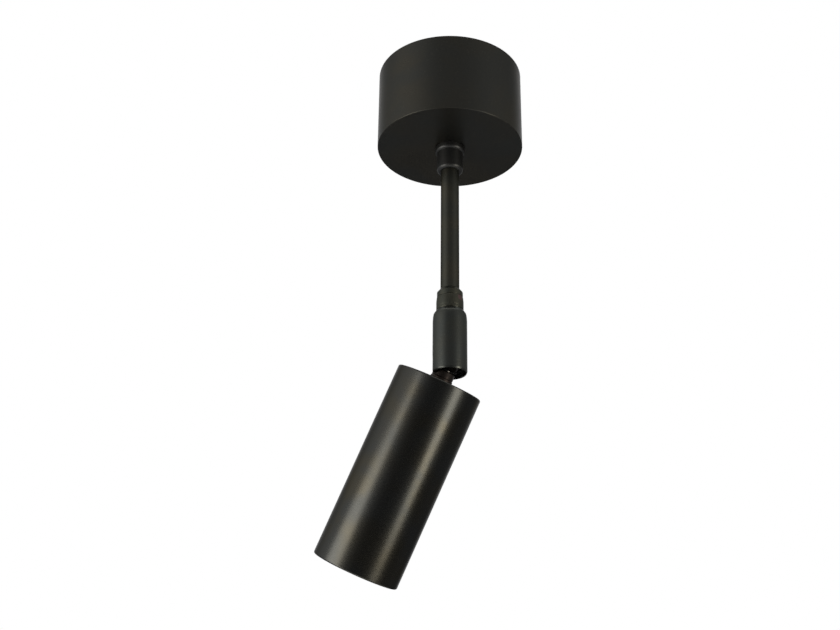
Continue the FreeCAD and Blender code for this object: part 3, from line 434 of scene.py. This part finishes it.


# The lighter rubbed colour on the edges is partly wear and partly painted highlight, as on the
# head's rims and the head collar's crown
finishes = {
    "canopy": {"dark": (0.036, 0.036, 0.033), "warm": (0.043, 0.039, 0.031), "cloudScale": 22.0,
               "warmth": 0.8, "specks": 0.25, "speckColour": (0.09, 0.085, 0.07),
               "rubbedAndSheen": (0.13, 0.12, 0.095), "wearAndSheen": 0.35, "wearAndSheenWidth": 0.0007, "rings": 5000.0,
               "metallic": 0.9, "roughness": 0.34, "roughSpread": 0.04, "roughCloud": 0.04,
               "lineDepth": 0.000004, "edgeShine": 0.45},
    "collar": {"dark": (0.040, 0.040, 0.040), "warm": (0.047, 0.045, 0.042), "cloudScale": 60.0,
               "warmth": 0.6, "specks": 0.2, "speckColour": (0.10, 0.09, 0.07),
               "rubbedAndSheen": (0.12, 0.12, 0.11), "wearAndSheen": 0.15, "wearAndSheenWidth": 0.0005, "rings": 7000.0,
               "metallic": 0.9, "roughness": 0.43, "roughSpread": 0.05, "roughCloud": 0.04,
               "lineDepth": 0.000004, "edgeShine": 0.58},
    "stem": {"dark": (0.046, 0.0465, 0.040), "warm": (0.057, 0.053, 0.041), "cloudScale": 45.0,
             "warmth": 0.8, "specks": 0.3, "speckColour": (0.12, 0.10, 0.07),
             "rubbedAndSheen": (0.16, 0.14, 0.09), "wearAndSheen": 0.3, "wearAndSheenWidth": 0.0004, "rings": 4000.0,
             "metallic": 0.92, "roughness": 0.33, "roughSpread": 0.05, "roughCloud": 0.05,
             "lineDepth": 0.000005, "edgeShine": 0.30},
    "joint": {"dark": (0.050, 0.053, 0.050), "warm": (0.057, 0.057, 0.049), "cloudScale": 80.0,
              "warmth": 0.6, "specks": 0.25, "speckColour": (0.10, 0.10, 0.08),
              "rubbedAndSheen": (0.22, 0.22, 0.20), "wearAndSheen": 0.4, "wearAndSheenWidth": 0.0005, "rings": 6000.0,
              "metallic": 0.97, "roughness": 0.33, "roughSpread": 0.05, "roughCloud": 0.04,
              "lineDepth": 0.000005, "edgeShine": 0.44},
    "ring": {"dark": (0.045, 0.047, 0.040), "warm": (0.056, 0.053, 0.040), "cloudScale": 90.0,
             "warmth": 0.7, "specks": 0.3, "speckColour": (0.11, 0.10, 0.07),
             "rubbedAndSheen": (0.11, 0.11, 0.09), "wearAndSheen": 0.3, "wearAndSheenWidth": 0.0004, "rings": 5000.0,
             "metallic": 0.9, "roughness": 0.40, "roughSpread": 0.07, "roughCloud": 0.05,
             "lineDepth": 0.000006, "edgeShine": 0.45,
             "spots": [{"centre": (0.0067, -0.0056, -0.1750), "size": 0.0025,
                        "colour": (0.098, 0.062, 0.061)}]},
    "stud": {"dark": (0.045, 0.041, 0.038), "warm": (0.056, 0.048, 0.042), "cloudScale": 110.0,
             "warmth": 0.8, "specks": 0.3, "speckColour": (0.10, 0.08, 0.06),
             "rubbedAndSheen": (0.12, 0.10, 0.08), "wearAndSheen": 0.3, "wearAndSheenWidth": 0.0004, "rings": 6000.0,
             "metallic": 0.95, "roughness": 0.15, "roughSpread": 0.03, "roughCloud": 0.04,
             "lineDepth": 0.000004, "edgeShine": 0.6, "onHead": True},
    # The stub's light rubbed edges paint the highlight along the head collar's crown
    "stub": {"dark": (0.016, 0.012, 0.0105), "warm": (0.028, 0.020, 0.0165), "cloudScale": 240.0,
             "warmth": 0.9, "specks": 0.4, "speckColour": (0.05, 0.038, 0.032),
             "rubbedAndSheen": (0.11, 0.085, 0.075), "wearAndSheen": 0.5, "wearAndSheenWidth": 0.0004, "rings": 6000.0,
             "metallic": 0.7, "roughness": 0.52, "roughSpread": 0.06, "roughCloud": 0.08,
             "lineDepth": 0.000006, "edgeShine": 0.6, "onHead": True},
    "head": {"dark": (0.0465, 0.0465, 0.0440), "warm": (0.0550, 0.0500, 0.0390),
             "cloudScale": 34.0, "warmth": 0.85, "specks": 0.2, "speckColour": (0.07, 0.065, 0.05),
             "rubbedAndSheen": (0.16, 0.145, 0.11), "wearAndSheen": 0.6, "wearAndSheenWidth": 0.0006, "rings": 5000.0,
             "metallic": 1.0, "roughness": 0.29, "roughSpread": 0.03, "roughCloud": 0.03,
             "lineDepth": 0.000003, "edgeShine": 0.44, "onHead": True},
}
materials = {key: patinatedBrass(key + "Brass", finish) for key, finish in finishes.items()}

innerMetal = {"warmth": 1.0, "specks": 0.4, "wearAndSheenWidth": 0.0003, "wearAndSheen": 0.5, "roughSpread": 0.08,
              "scratchNoise": (1400.0, 4.0, 0.7, 1.5), "scratchDepth": 0.000006}


def plainMetal(name, finish):
    # Machined or plated metal for the pieces inside: colour clouds, scratches, and rubbed corners
    # that also paint edge highlights
    material, tree, shader = startMaterial(name)
    place = placeOutput(tree)
    tree.links.new(metalColour(tree, place, finish)[0], shader.inputs["Base Color"])
    shader.inputs["Metallic"].default_value = 1.0
    scratches = noiseNode(tree, place, *finish["scratchNoise"])
    tree.links.new(spreadRoughness(tree, scratches, finish["roughness"], finish["roughSpread"]),
                   shader.inputs["Roughness"])
    addBump(tree, shader, scratches, finish["scratchDepth"])
    return material


metals = {
    "zincSteel": {"dark": (0.50, 0.50, 0.49), "warm": (0.66, 0.66, 0.63), "cloudScale": 160.0,
                  "speckColour": (0.42, 0.42, 0.40), "rubbedAndSheen": (0.80, 0.80, 0.78),
                  "roughness": 0.36},
    "darkScrew": {"dark": (0.035, 0.035, 0.035), "warm": (0.055, 0.055, 0.05), "cloudScale": 300.0,
                  "speckColour": (0.09, 0.08, 0.07), "rubbedAndSheen": (0.16, 0.16, 0.15),
                  "roughness": 0.42},
    "springSteel": {"dark": (0.20, 0.20, 0.21), "warm": (0.32, 0.31, 0.30), "cloudScale": 220.0,
                    "speckColour": (0.14, 0.13, 0.12), "rubbedAndSheen": (0.50, 0.50, 0.50),
                    "roughness": 0.30},
    "bareBrass": {"dark": (0.62, 0.45, 0.20), "warm": (0.76, 0.60, 0.32), "cloudScale": 180.0,
                  "speckColour": (0.48, 0.33, 0.15), "rubbedAndSheen": (0.86, 0.72, 0.45),
                  "roughness": 0.28},
    "reflectorMetal": {"dark": (0.76, 0.76, 0.77), "warm": (0.86, 0.86, 0.86), "cloudScale": 120.0,
                       "speckColour": (0.70, 0.70, 0.70), "rubbedAndSheen": (0.92, 0.92, 0.92),
                       "roughness": 0.10},
}
materials.update({key: plainMetal(key, {**innerMetal, **finish}) for key, finish in metals.items()})

moulding = {"driftNoise": (3.0, 0.55), "grainNoise": (3.0, 0.6), "roughSpread": 0.06}


def grainedSurface(tree, shader, place, finish):
    # Fine grain in the gloss and the surface
    grain = noiseNode(tree, place, finish["grainScale"], *moulding["grainNoise"])
    tree.links.new(spreadRoughness(tree, grain, finish["roughness"], moulding["roughSpread"]),
                   shader.inputs["Roughness"])
    addBump(tree, shader, grain, finish["grainDepth"])


def moulded(name, finish):
    # Moulded or glazed piece: slight colour drift over a fine grain
    material, tree, shader = startMaterial(name)
    place = placeOutput(tree)
    drift = noiseNode(tree, place, finish["driftScale"], *moulding["driftNoise"])
    colour = mixNode(tree, rangeNode(tree, drift, *noiseSpan), finish["colour"], finish["drift"])
    tree.links.new(colour, shader.inputs["Base Color"])
    grainedSurface(tree, shader, place, finish)
    return material


mouldings = {
    "nylon": {"colour": (0.78, 0.77, 0.71), "drift": (0.84, 0.83, 0.78), "driftScale": 90.0,
              "grainScale": 1800.0, "roughness": 0.48, "grainDepth": 0.00001},
    # The seats are coloured near black: painted shade that keeps the inside of the socket mouth
    # dark
    "shadeDarkSeat": {"colour": (0.060, 0.060, 0.061), "drift": (0.075, 0.075, 0.075),
                  "driftScale": 160.0, "grainScale": 2200.0, "roughness": 0.50,
                  "grainDepth": 0.00001},
    "ceramic": {"colour": (0.80, 0.78, 0.71), "drift": (0.86, 0.84, 0.79), "driftScale": 70.0,
                "grainScale": 900.0, "roughness": 0.30, "grainDepth": 0.000012},
    "bushRubber": {"colour": (0.022, 0.022, 0.022), "drift": (0.035, 0.034, 0.033),
                   "driftScale": 120.0, "grainScale": 2400.0, "roughness": 0.62,
                   "grainDepth": 0.000014},
    "baffleBlack": {"colour": (0.018, 0.018, 0.018), "drift": (0.028, 0.028, 0.027),
                    "driftScale": 80.0, "grainScale": 3200.0, "roughness": 0.66,
                    "grainDepth": 0.000012},
    "neutralBlue": {"colour": (0.03, 0.10, 0.42), "drift": (0.04, 0.13, 0.48), "driftScale": 200.0,
                    "grainScale": 2600.0, "roughness": 0.40, "grainDepth": 0.000008},
    "liveBrown": {"colour": (0.14, 0.055, 0.025), "drift": (0.18, 0.07, 0.03), "driftScale": 200.0,
                  "grainScale": 2600.0, "roughness": 0.40, "grainDepth": 0.000008},
    "leadSleeve": {"colour": (0.50, 0.45, 0.36), "drift": (0.58, 0.53, 0.44), "driftScale": 400.0,
                   "grainScale": 3000.0, "roughness": 0.60, "grainDepth": 0.00002},
}
materials.update({key: moulded(key, finish) for key, finish in mouldings.items()})

earthSleeve = {"green": (0.04, 0.22, 0.05), "yellow": (0.72, 0.58, 0.05), "waveScale": 120.0,
               "distortion": 0.4, "stripeSpan": (0.46, 0.54), "grainScale": 2600.0,
               "roughness": 0.40, "grainDepth": 0.000008}


def earthStripe(finish):
    # Green sleeve with a yellow stripe that winds round it
    material, tree, shader = startMaterial("earthStripe")
    place = placeOutput(tree)
    wave = tree.nodes.new("ShaderNodeTexWave")
    tree.links.new(place, wave.inputs["Vector"])
    wave.bands_direction = "DIAGONAL"
    wave.inputs["Scale"].default_value = finish["waveScale"]
    wave.inputs["Distortion"].default_value = finish["distortion"]
    mask = rangeNode(tree, wave.outputs["Fac"], *finish["stripeSpan"])
    tree.links.new(mixNode(tree, mask, finish["green"], finish["yellow"]),
                   shader.inputs["Base Color"])
    grainedSurface(tree, shader, place, finish)
    return material


glasses = {
    "frontGlass": {"tint": (0.95, 0.97, 0.96), "roughness": 0.02,
                   "grainNoise": (500.0, 2.0, 0.5), "grainDepth": 0.00002},
    "burnerGlass": {"tint": (0.97, 0.94, 0.86), "roughness": 0.25,
                    "grainNoise": (900.0, 2.0, 0.5), "grainDepth": 0.00001},
}
glassBody = {"index": 1.48, "shade": 0.96, "roughRise": 0.04}


def lampGlass(name, finish):
    material, tree, shader = startMaterial(name)
    place = placeOutput(tree)
    shader.inputs["Transmission Weight"].default_value = 1.0
    shader.inputs["IOR"].default_value = glassBody["index"]
    grain = noiseNode(tree, place, *finish["grainNoise"])
    shaded = tuple(glassBody["shade"] * channel for channel in finish["tint"])
    tree.links.new(mixNode(tree, grain, finish["tint"], shaded), shader.inputs["Base Color"])
    rough = rangeNode(tree, grain, *noiseSpan, finish["roughness"],
                      finish["roughness"] + glassBody["roughRise"])
    tree.links.new(rough, shader.inputs["Roughness"])
    addBump(tree, shader, grain, finish["grainDepth"])
    return material


materials["earthStripe"] = earthStripe(earthSleeve)
materials.update({key: lampGlass(key, finish) for key, finish in glasses.items()})
print("materials built:", len(materials))


def quarterTurns(step):
    return [math.radians(turn) for turn in range(0, 91, step)]


def turnProfile(profile, place, segments, sharpAngle=25, edge=0.0, edgeSteps=2):
    # Spins a closed profile, rounds its corners and puts it in place
    shape = bmesh.new()
    corners = [shape.verts.new((radius * mm, 0, height * mm)) for radius, height in profile]
    closed = profile[0][0] > 0 or profile[-1][0] > 0
    for first, second in zip(corners, corners[1:] + (corners[:1] if closed else [])):
        shape.edges.new((first, second))
    bmesh.ops.spin(shape, geom=shape.verts[:] + shape.edges[:], axis=(0, 0, 1), cent=(0, 0, 0),
                   angle=math.radians(360), steps=segments, use_merge=True)
    bmesh.ops.remove_doubles(shape, verts=shape.verts, dist=weldDistance)
    bmesh.ops.recalc_face_normals(shape, faces=shape.faces)
    if edge:
        rims = [line for line in shape.edges if line.is_manifold
                and line.calc_face_angle(0) > math.radians(sharpAngle)]
        bmesh.ops.bevel(shape, geom=rims, offset=edge * mm, offset_type="OFFSET", affect="EDGES",
                        segments=edgeSteps, profile=0.5, material=-1, clamp_overlap=True)
        bmesh.ops.recalc_face_normals(shape, faces=shape.faces)
    shape.transform(place)
    return shape


def finishPiece(shape, name, body, material, replaced, smooth=35):
    mesh = bpy.data.meshes.new(name)
    shape.to_mesh(mesh)
    shape.free()
    mesh.materials.append(materials[material])
    mesh.shade_smooth()
    mesh.set_sharp_from_angle(angle=math.radians(smooth))
    piece = bpy.data.objects.new(name, mesh)
    bpy.context.scene.collection.objects.link(piece)
    shading = piece.modifiers.new("evenShading", "WEIGHTED_NORMAL")
    shading.keep_sharp = True
    if body:
        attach(piece, body)
    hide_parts(*replaced)
    return piece


def cutOut(shape, cutter):
    # Takes the cutter's volume out of the shape; both are bmeshes in place
    solids = []
    for label, source in (("shape", shape), ("cutter", cutter)):
        mesh = bpy.data.meshes.new(label)
        source.to_mesh(mesh)
        source.free()
        solid = bpy.data.objects.new(label, mesh)
        bpy.context.scene.collection.objects.link(solid)
        solids.append(solid)
    carve = solids[0].modifiers.new("carve", "BOOLEAN")
    carve.operation = "DIFFERENCE"
    carve.solver = "EXACT"
    carve.object = solids[1]
    bpy.context.view_layer.update()
    carved = solids[0].evaluated_get(bpy.context.evaluated_depsgraph_get())
    result = bmesh.new()
    result.from_mesh(carved.to_mesh())
    for solid in solids:
        mesh = solid.data
        bpy.data.objects.remove(solid)
        bpy.data.meshes.remove(mesh)
    return result


canopy = {"radius": 50.0, "height": 58.3, "wall": 1.5, "floor": 1.5, "hole": 5.1, "edge": 0.35,
          "edgeSteps": 3, "segments": 224, "screwDepth": 7.8, "screwHole": 2.2, "sinkHole": 3.1,
          "sinkDepth": 0.45, "sinkRun": 1.0, "wayStart": 40.0, "wayLength": 14.0, "waySegments": 32}


def makeCanopy(size):
    inside = size["radius"] - size["wall"]
    shell = turnProfile([
        (size["hole"], 0), (size["radius"], 0), (size["radius"], size["height"]),
        (inside, size["height"]), (inside, size["floor"]), (size["hole"], size["floor"])],
        hung(size["height"]), size["segments"], edge=size["edge"], edgeSteps=size["edgeSteps"])
    # A screw way on each side, from inside the cup out through its wall
    sink = size["radius"] - size["sinkDepth"] - size["wayStart"]
    for side in (-1, 1):
        way = turnProfile([
            (0, 0), (size["screwHole"], 0), (size["screwHole"], sink),
            (size["sinkHole"], sink + size["sinkRun"]), (size["sinkHole"], size["wayLength"]),
            (0, size["wayLength"])],
            Matrix.Translation((side * size["wayStart"] * mm, 0, -size["screwDepth"] * mm))
            @ Matrix.Rotation(side * math.radians(90), 4, "Y"), size["waySegments"])
        shell = cutOut(shell, way)
    finishPiece(shell, "canopyShell", "fixture", "canopy", ["canopy_cup"])


makeCanopy(canopy)

collar = {"top": 58.3, "flange": 10.2, "flangeHeight": 4.2, "flangeRound": 1.9, "body": 8.9,
          "foot": 6.6, "footRound": 2.1, "bottom": 77.2, "bore": 6.22, "roundStep": 15,
          "sharpAngle": 40, "edge": 0.14, "segments": 128}


def roundedFoot(inner, outer, low, rise, step):
    # A quarter round from its foot at the inner radius up to the outer radius
    return [(inner + (outer - inner) * math.cos(turn), low + rise * (1 - math.sin(turn)))
            for turn in reversed(quarterTurns(step))]


def makeCollar(size):
    tall = size["bottom"] - size["top"]
    flangeFoot = tall - size["flangeHeight"]
    ring = turnProfile(
        [(size["bore"], 0)]
        + roundedFoot(size["foot"], size["body"], 0, size["footRound"], size["roundStep"])
        + roundedFoot(size["body"], size["flange"], flangeFoot, size["flangeRound"],
                      size["roundStep"])
        + [(size["flange"], tall), (size["bore"], tall)],
        hung(size["bottom"]), size["segments"], size["sharpAngle"], size["edge"])
    finishPiece(ring, "canopyCollar", "fixture", "collar", ["canopy_collar"])


makeCollar(collar)

stem = {"radius": 6.2, "bore": 5.0, "top": 68.0, "bottom": 178.5, "lengths": 12, "edge": 0.2,
        "segments": 128}


def makeStem(size):
    length = size["bottom"] - size["top"]
    outer = [(size["radius"], length * step / size["lengths"])
             for step in range(size["lengths"] + 1)]
    tube = turnProfile(outer + [(size["bore"], length), (size["bore"], 0)],
                       hung(size["bottom"]), size["segments"], edge=size["edge"])
    finishPiece(tube, "stemTube", "fixture", "stem", ["stem_tube"])


makeStem(stem)
print("canopy, collar and stem made")

lockRing = {"top": 167.0, "bottom": 172.95, "bore": 6.22, "radius": 8.48, "slope": 2.6,
            "footIn": 0.1, "footRise": 0.15, "crestWidth": 0.12, "sharpAngle": 35, "edge": 0.14,
            "segments": 128}


def makeLockRing(size):
    tall = size["bottom"] - size["top"]
    ring = turnProfile([
        (size["bore"], 0), (size["radius"] - size["footIn"], 0),
        (size["radius"], size["footRise"]), (size["radius"], tall - size["slope"]),
        (size["bore"] + size["crestWidth"], tall), (size["bore"], tall)],
        hung(size["bottom"]), size["segments"], size["sharpAngle"], size["edge"])
    finishPiece(ring, "lockRing", "fixture", "ring", ["lock_ring"])


makeLockRing(lockRing)

# The foot's heights count up from the cap's lower face, the crown's depths down from its top
swivelCap = {"top": 173.1, "bottom": 182.45, "bore": 6.22, "spigot": 6.5, "spigotBottom": 192.5,
             "way": 4.0, "stemSeat": 14.0, "sharpAngle": 40, "edge": 0.14, "segments": 128,
             "foot": [(8.66, 0), (8.66, 0.35), (8.93, 0.5), (8.93, 1.9), (8.79, 2.08),
                      (8.93, 2.26)],
             "crown": [(8.93, 2.9), (8.74, 1.4), (8.66, 0.3), (8.41, 0.1), (8.36, 0)]}


def makeSwivelCap(size):
    land = size["spigotBottom"] - size["bottom"]
    tall = size["spigotBottom"] - size["top"]
    cap = turnProfile(
        [(size["way"], 0), (size["spigot"], 0), (size["spigot"], land)]
        + [(radius, land + height) for radius, height in size["foot"]]
        + [(radius, tall - depth) for radius, depth in size["crown"]]
        + [(size["bore"], tall), (size["bore"], size["stemSeat"]), (size["way"], size["stemSeat"])],
        hung(size["spigotBottom"]), size["segments"], size["sharpAngle"], size["edge"])
    finishPiece(cap, "swivelCap", "fixture", "ring", ["swivel_cap"])


makeSwivelCap(swivelCap)

# The wall's points lie at a radius and a depth below the ceiling
socket = {"mouth": 226.3, "bore": 9.9, "roof": 188.4, "spigotWay": 6.55, "mouthBevel": 1.3,
          "lip": 10.6, "radius": 11.18, "top": 182.7, "slotHalf": 7.4, "slotReach": 14.0,
          "slotPast": 1.0, "slotSegments": 64, "sharpAngle": 40, "edge": 0.16, "segments": 160,
          "wall": [(11.18, 205.0), (11.18, 190.2), (11.0, 187.3), (10.8, 186.0), (10.56, 185.1),
                   (10.10, 184.4), (9.55, 183.6), (9.05, 182.85), (9.0, 182.7)]}


def makeSocket(size):
    outline = size["wall"] + [(size["spigotWay"], size["top"]), (size["spigotWay"], size["roof"]),
                              (size["bore"], size["roof"])]
    cup = turnProfile(
        [(size["bore"], 0), (size["lip"], 0), (size["radius"], size["mouthBevel"])]
        + [(radius, size["mouth"] - depth) for radius, depth in outline],
        hung(size["mouth"]), size["segments"], size["sharpAngle"], size["edge"])
    # The slot: a straight cut from the pivot's height down to the mouth, with a round top
    slotOut = Vector((headDown.x, headDown.y, 0)).normalized()
    turnOut = slotOut.to_track_quat("X", "Z").to_matrix().to_4x4()
    bar = bmesh.new()
    bmesh.ops.create_cube(bar, size=1.0)
    drop = size["mouth"] + pivot.z / mm + size["slotPast"]
    bmesh.ops.scale(bar, verts=bar.verts,
                    vec=(size["slotReach"] * mm, 2 * size["slotHalf"] * mm, drop * mm))
    bmesh.ops.translate(bar, verts=bar.verts, vec=(size["slotReach"] / 2 * mm, 0, -drop * mm / 2))
    bar.transform(Matrix.Translation(pivot) @ turnOut)
    crown = turnProfile([(0, 0), (size["slotHalf"], 0), (size["slotHalf"], size["slotReach"]),
                         (0, size["slotReach"])],
                        Matrix.Translation(pivot) @ turnOut
                        @ Matrix.Rotation(math.radians(90), 4, "Y"), size["slotSegments"])
    cup = cutOut(cutOut(cup, bar), crown)
    finishPiece(cup, "jointSocket", "socket", "joint", ["joint_socket"])


makeSocket(socket)

stud = {"ball": 8.8, "funnel": 6.4, "neck": 5.4, "ballSteps": 28, "stubStart": 8.4, "stub": 7.1,
        "stubBevel": 0.6, "stubEnd": 12.3, "thread": 5.0, "threadBevel": 0.4, "end": 27.0,
        "bore": 3.0, "boreTop": 1.0, "sharpAngle": 30, "edge": 0.14, "segments": 128}


def makeStud(size):
    # The ball's outline runs from its funnel down to the neck
    top = math.asin(size["funnel"] / size["ball"])
    foot = math.pi - math.asin(size["neck"] / size["ball"])
    ball = [(size["ball"] * math.sin(angle), size["ball"] * math.cos(angle))
            for angle in [top + (foot - top) * step / size["ballSteps"]
                          for step in range(size["ballSteps"] + 1)]]
    pin = turnProfile(ball + [
        (size["neck"], size["stubBevel"] - size["stubStart"]),
        (size["stub"] - size["stubBevel"], size["stubBevel"] - size["stubStart"]),
        (size["stub"], -size["stubStart"]), (size["stub"], -size["stubEnd"]),
        (size["thread"], -size["stubEnd"]), (size["thread"], size["threadBevel"] - size["end"]),
        (size["thread"] - size["threadBevel"], -size["end"]), (size["bore"], -size["end"]),
        (size["bore"], size["boreTop"])],
        onHead(0), size["segments"], size["sharpAngle"], size["edge"])
    # The stub has a duller finish than the ball and neck
    toHead = onHead(0).inverted()
    for face in pin.faces:
        depth = (toHead @ face.calc_center_median()).z
        face.material_index = int(depth < -size["stubStart"] * mm)
    piece = finishPiece(pin, "ballStud", "stud", "stud", ["ball_stud"])
    piece.data.materials.append(materials["stub"])


makeStud(stud)

headCollar = {"start": 12.3, "end": 15.65, "bore": 5.02, "radius": 7.4, "crown": 0.6, "foot": 8.6,
              "roundStep": 15, "sharpAngle": 40, "edge": 0.12, "segments": 128}


def makeHeadCollar(size):
    tall = size["end"] - size["start"]
    flare = size["foot"] - size["radius"]
    sweep = [(size["radius"] + flare * (1 - math.sin(turn)), flare * (1 - math.cos(turn)))
             for turn in quarterTurns(size["roundStep"])]
    ring = turnProfile([(size["bore"], 0)] + sweep + [
        (size["radius"], tall - size["crown"]), (size["radius"] - size["crown"], tall),
        (size["bore"], tall)],
        onHead(size["end"]), size["segments"], size["sharpAngle"], size["edge"])
    finishPiece(ring, "headCollar", "stud", "stub", ["head_collar"])


makeHeadCollar(headCollar)

jointLead = {"cores": 3, "firstAngle": 90, "radius": 0.75, "offset": 1.1, "top": 192.56,
             "straight": 7.94, "funnel": 6.0, "into": 1.0, "bevelSteps": 4, "curveOrder": 3,
             "curveSteps": 8}


def leadTube(route, size):
    # A round sleeve along a smooth curve through the route
    path = bpy.data.curves.new("leadPath", "CURVE")
    path.dimensions = "3D"
    path.bevel_depth = size["radius"] * mm
    path.bevel_resolution = size["bevelSteps"]
    path.use_fill_caps = True
    run = path.splines.new("NURBS")
    run.points.add(len(route) - 1)
    for point, place in zip(run.points, route):
        point.co = (*place, 1)
    run.order_u = size["curveOrder"]
    run.use_endpoint_u = True
    run.resolution_u = size["curveSteps"]
    holder = bpy.data.objects.new("leadPath", path)
    bpy.context.scene.collection.objects.link(holder)
    bpy.context.view_layer.update()
    drawn = holder.evaluated_get(bpy.context.evaluated_depsgraph_get())
    tube = bpy.data.meshes.new_from_object(drawn)
    bpy.data.objects.remove(holder)
    bpy.data.curves.remove(path)
    return tube


def makeJointLeads(size):
    # Sleeved leads from the stem's end into the ball's bore, drawn bent to the head's present tilt
    turned = Matrix.Rotation(headTilt, 4, tiltAxis)
    bendStart = Vector((0, 0, -(size["top"] + size["straight"]) * mm))
    bendEnd = pivot - headDown * size["funnel"] * mm
    bundle = bmesh.new()
    for core in range(size["cores"]):
        angle = math.radians(size["firstAngle"] + 360 / size["cores"] * core)
        spot = Vector((math.cos(angle), math.sin(angle), 0)) * size["offset"] * mm
        tube = leadTube([spot - Vector((0, 0, size["top"] * mm)), spot + bendStart,
                         turned @ spot + bendEnd,
                         turned @ spot + pivot + headDown * size["into"] * mm], size)
        bundle.from_mesh(tube)
        bpy.data.meshes.remove(tube)
    bmesh.ops.remove_doubles(bundle, verts=bundle.verts, dist=weldDistance)
    bmesh.ops.recalc_face_normals(bundle, faces=bundle.faces)
    piece = finishPiece(bundle, "jointLeads", None, "leadSleeve", ["joint_leads"])
    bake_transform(piece)


makeJointLeads(jointLead)
print("joint made")

head = {"start": 15.7, "radius": 28.4, "length": 129.0, "wall": 1.5, "round": 1.05,
        "roundStep": 18, "sharpAngle": 40, "edge": 0.2, "capThick": 3.0, "capBore": 5.05,
        "capGap": 0.02, "capEdge": 0.15, "groove": 27.45, "grooveTop": 112.2,
        "grooveBottom": 113.4, "segments": 192}


def makeHeadTube(size):
    inside = size["radius"] - size["wall"]
    centre = size["radius"] - size["round"]
    crown = [(centre + size["round"] * math.sin(turn), size["round"] * (math.cos(turn) - 1))
             for turn in quarterTurns(size["roundStep"])]
    mouth = [(radius, -size["length"] - height) for radius, height in reversed(crown)]
    tube = turnProfile(crown + mouth + [
        (inside, -size["length"]), (inside, -size["grooveBottom"]),
        (size["groove"], -size["grooveBottom"]), (size["groove"], -size["grooveTop"]),
        (inside, -size["grooveTop"]), (inside, 0)],
        onHead(size["start"]), size["segments"], size["sharpAngle"], size["edge"])
    finishPiece(tube, "headTube", "head", "head", ["head_tube"])
    rim = inside - size["capGap"]
    cap = turnProfile([
        (size["capBore"], 0), (rim, 0), (rim, -size["capThick"]),
        (size["capBore"], -size["capThick"])],
        onHead(size["start"] + size["capGap"]), size["segments"], edge=size["capEdge"])
    finishPiece(cap, "headCap", "head", "head", ["head_cap"])


makeHeadTube(head)

baffle = {"start": 123.0, "length": 4.9, "rim": 26.85, "throat": 23.4, "mouth": 25.0, "land": 1.2,
          "steps": 4, "edge": 0.12, "segments": 160}


def makeBaffle(size):
    # Stepped throat that keeps stray light off the tube
    run = (size["length"] - size["land"]) / size["steps"]
    rise = (size["mouth"] - size["throat"]) / size["steps"]
    inner = []
    for step in range(size["steps"]):
        inner += [(size["throat"] + rise * step, -size["land"] - run * step),
                  (size["throat"] + rise * step, -size["land"] - run * (step + 1))]
    ring = turnProfile([(size["rim"], 0), (size["throat"], 0)] + inner + [
        (size["mouth"], -size["length"]), (size["rim"], -size["length"])],
        onHead(size["start"]), size["segments"], edge=size["edge"])
    finishPiece(ring, "frontBaffle", "head", "baffleBlack", ["front_baffle"])


makeBaffle(baffle)
print("head made")

lamp = {"start": 75.7, "base": 16.0, "baseGap": 0.02, "neckDrop": 20.5, "neck": 17.2,
        "bowlDrop": 28.0, "bowl": 21.6, "bowlLift": 0.9, "rim": 9.0, "rimLap": 0.6, "face": 47.0,
        "radius": 25.0, "wall": 1.2, "back": 12.3, "throat": 9.3, "facets": 36, "rows": 7,
        "flatAngle": 2}


def makeReflector(size):
    # Smooth outside, and inside a bowl of flat facets in turned rows
    inner = size["radius"] - size["wall"]
    shoulder = -size["face"] + size["rim"]
    backHeight = -size["base"] - size["baseGap"]
    top = Vector((size["throat"], backHeight))
    middle = Vector((size["bowl"] - size["wall"], -size["bowlDrop"] + size["bowlLift"]))
    foot = Vector((inner, shoulder - size["rimLap"]))
    pull = middle * 2 - (top + foot) / 2
    bowl = []
    for row in range(size["rows"] + 1):
        share = row / size["rows"]
        spot = top * (1 - share) ** 2 + pull * 2 * share * (1 - share) + foot * share ** 2
        bowl.append((min(spot.x, inner), spot.y))
    shell = turnProfile(bowl + [
        (inner, -size["face"]), (size["radius"], -size["face"]), (size["radius"], shoulder),
        (size["bowl"], -size["bowlDrop"]), (size["neck"], -size["neckDrop"]),
        (size["back"], backHeight)],
        onHead(size["start"]), size["facets"])
    finishPiece(shell, "lampReflector", "head", "reflectorMetal", ["lamp_shell"],
                smooth=size["flatAngle"])


makeReflector(lamp)
print("lamp made")

nodeMaterials = {
    "zincSteel": ["ceiling_strap", "nipple_washer", "nipple_nut", "swivel_washer", "swivel_nut",
                  "stud_washer", "stud_nut", "earth_washer", "earth_screw", "terminal_screws",
                  "block_screw", "holder_bridge", "bridge_screws", "holder_screws",
                  "head_earth_tag", "head_earth_screw"],
    # The seat circlip takes the near-black screw finish as painted shade inside the socket mouth
    "darkScrew": ["canopy_screws", "seat_circlip"],
    "springSteel": ["disc_springs", "spring_circlip", "front_circlip"],
    "bareBrass": ["threaded_nipple", "terminal_sleeves"],
    "reflectorMetal": ["lamp_pins"],
    "nylon": ["terminal_block"],
    "shadeDarkSeat": ["upper_seat", "lower_seat"],
    "ceramic": ["lamp_holder", "lamp_base"],
    "bushRubber": ["cable_bush"],
    "neutralBlue": ["neutral_lead", "head_neutral_lead"],
    "liveBrown": ["live_lead", "head_live_lead"],
    "earthStripe": ["earth_lead", "head_earth_lead"],
    "leadSleeve": ["stud_leads"],
    "frontGlass": ["lamp_glass"],
    "burnerGlass": ["lamp_burner"],
}
for key, names in nodeMaterials.items():
    for name in names:
        mesh = frame["nodes"][name].data
        mesh.materials.clear()
        mesh.materials.append(materials[key])
print("CAD nodes dressed")
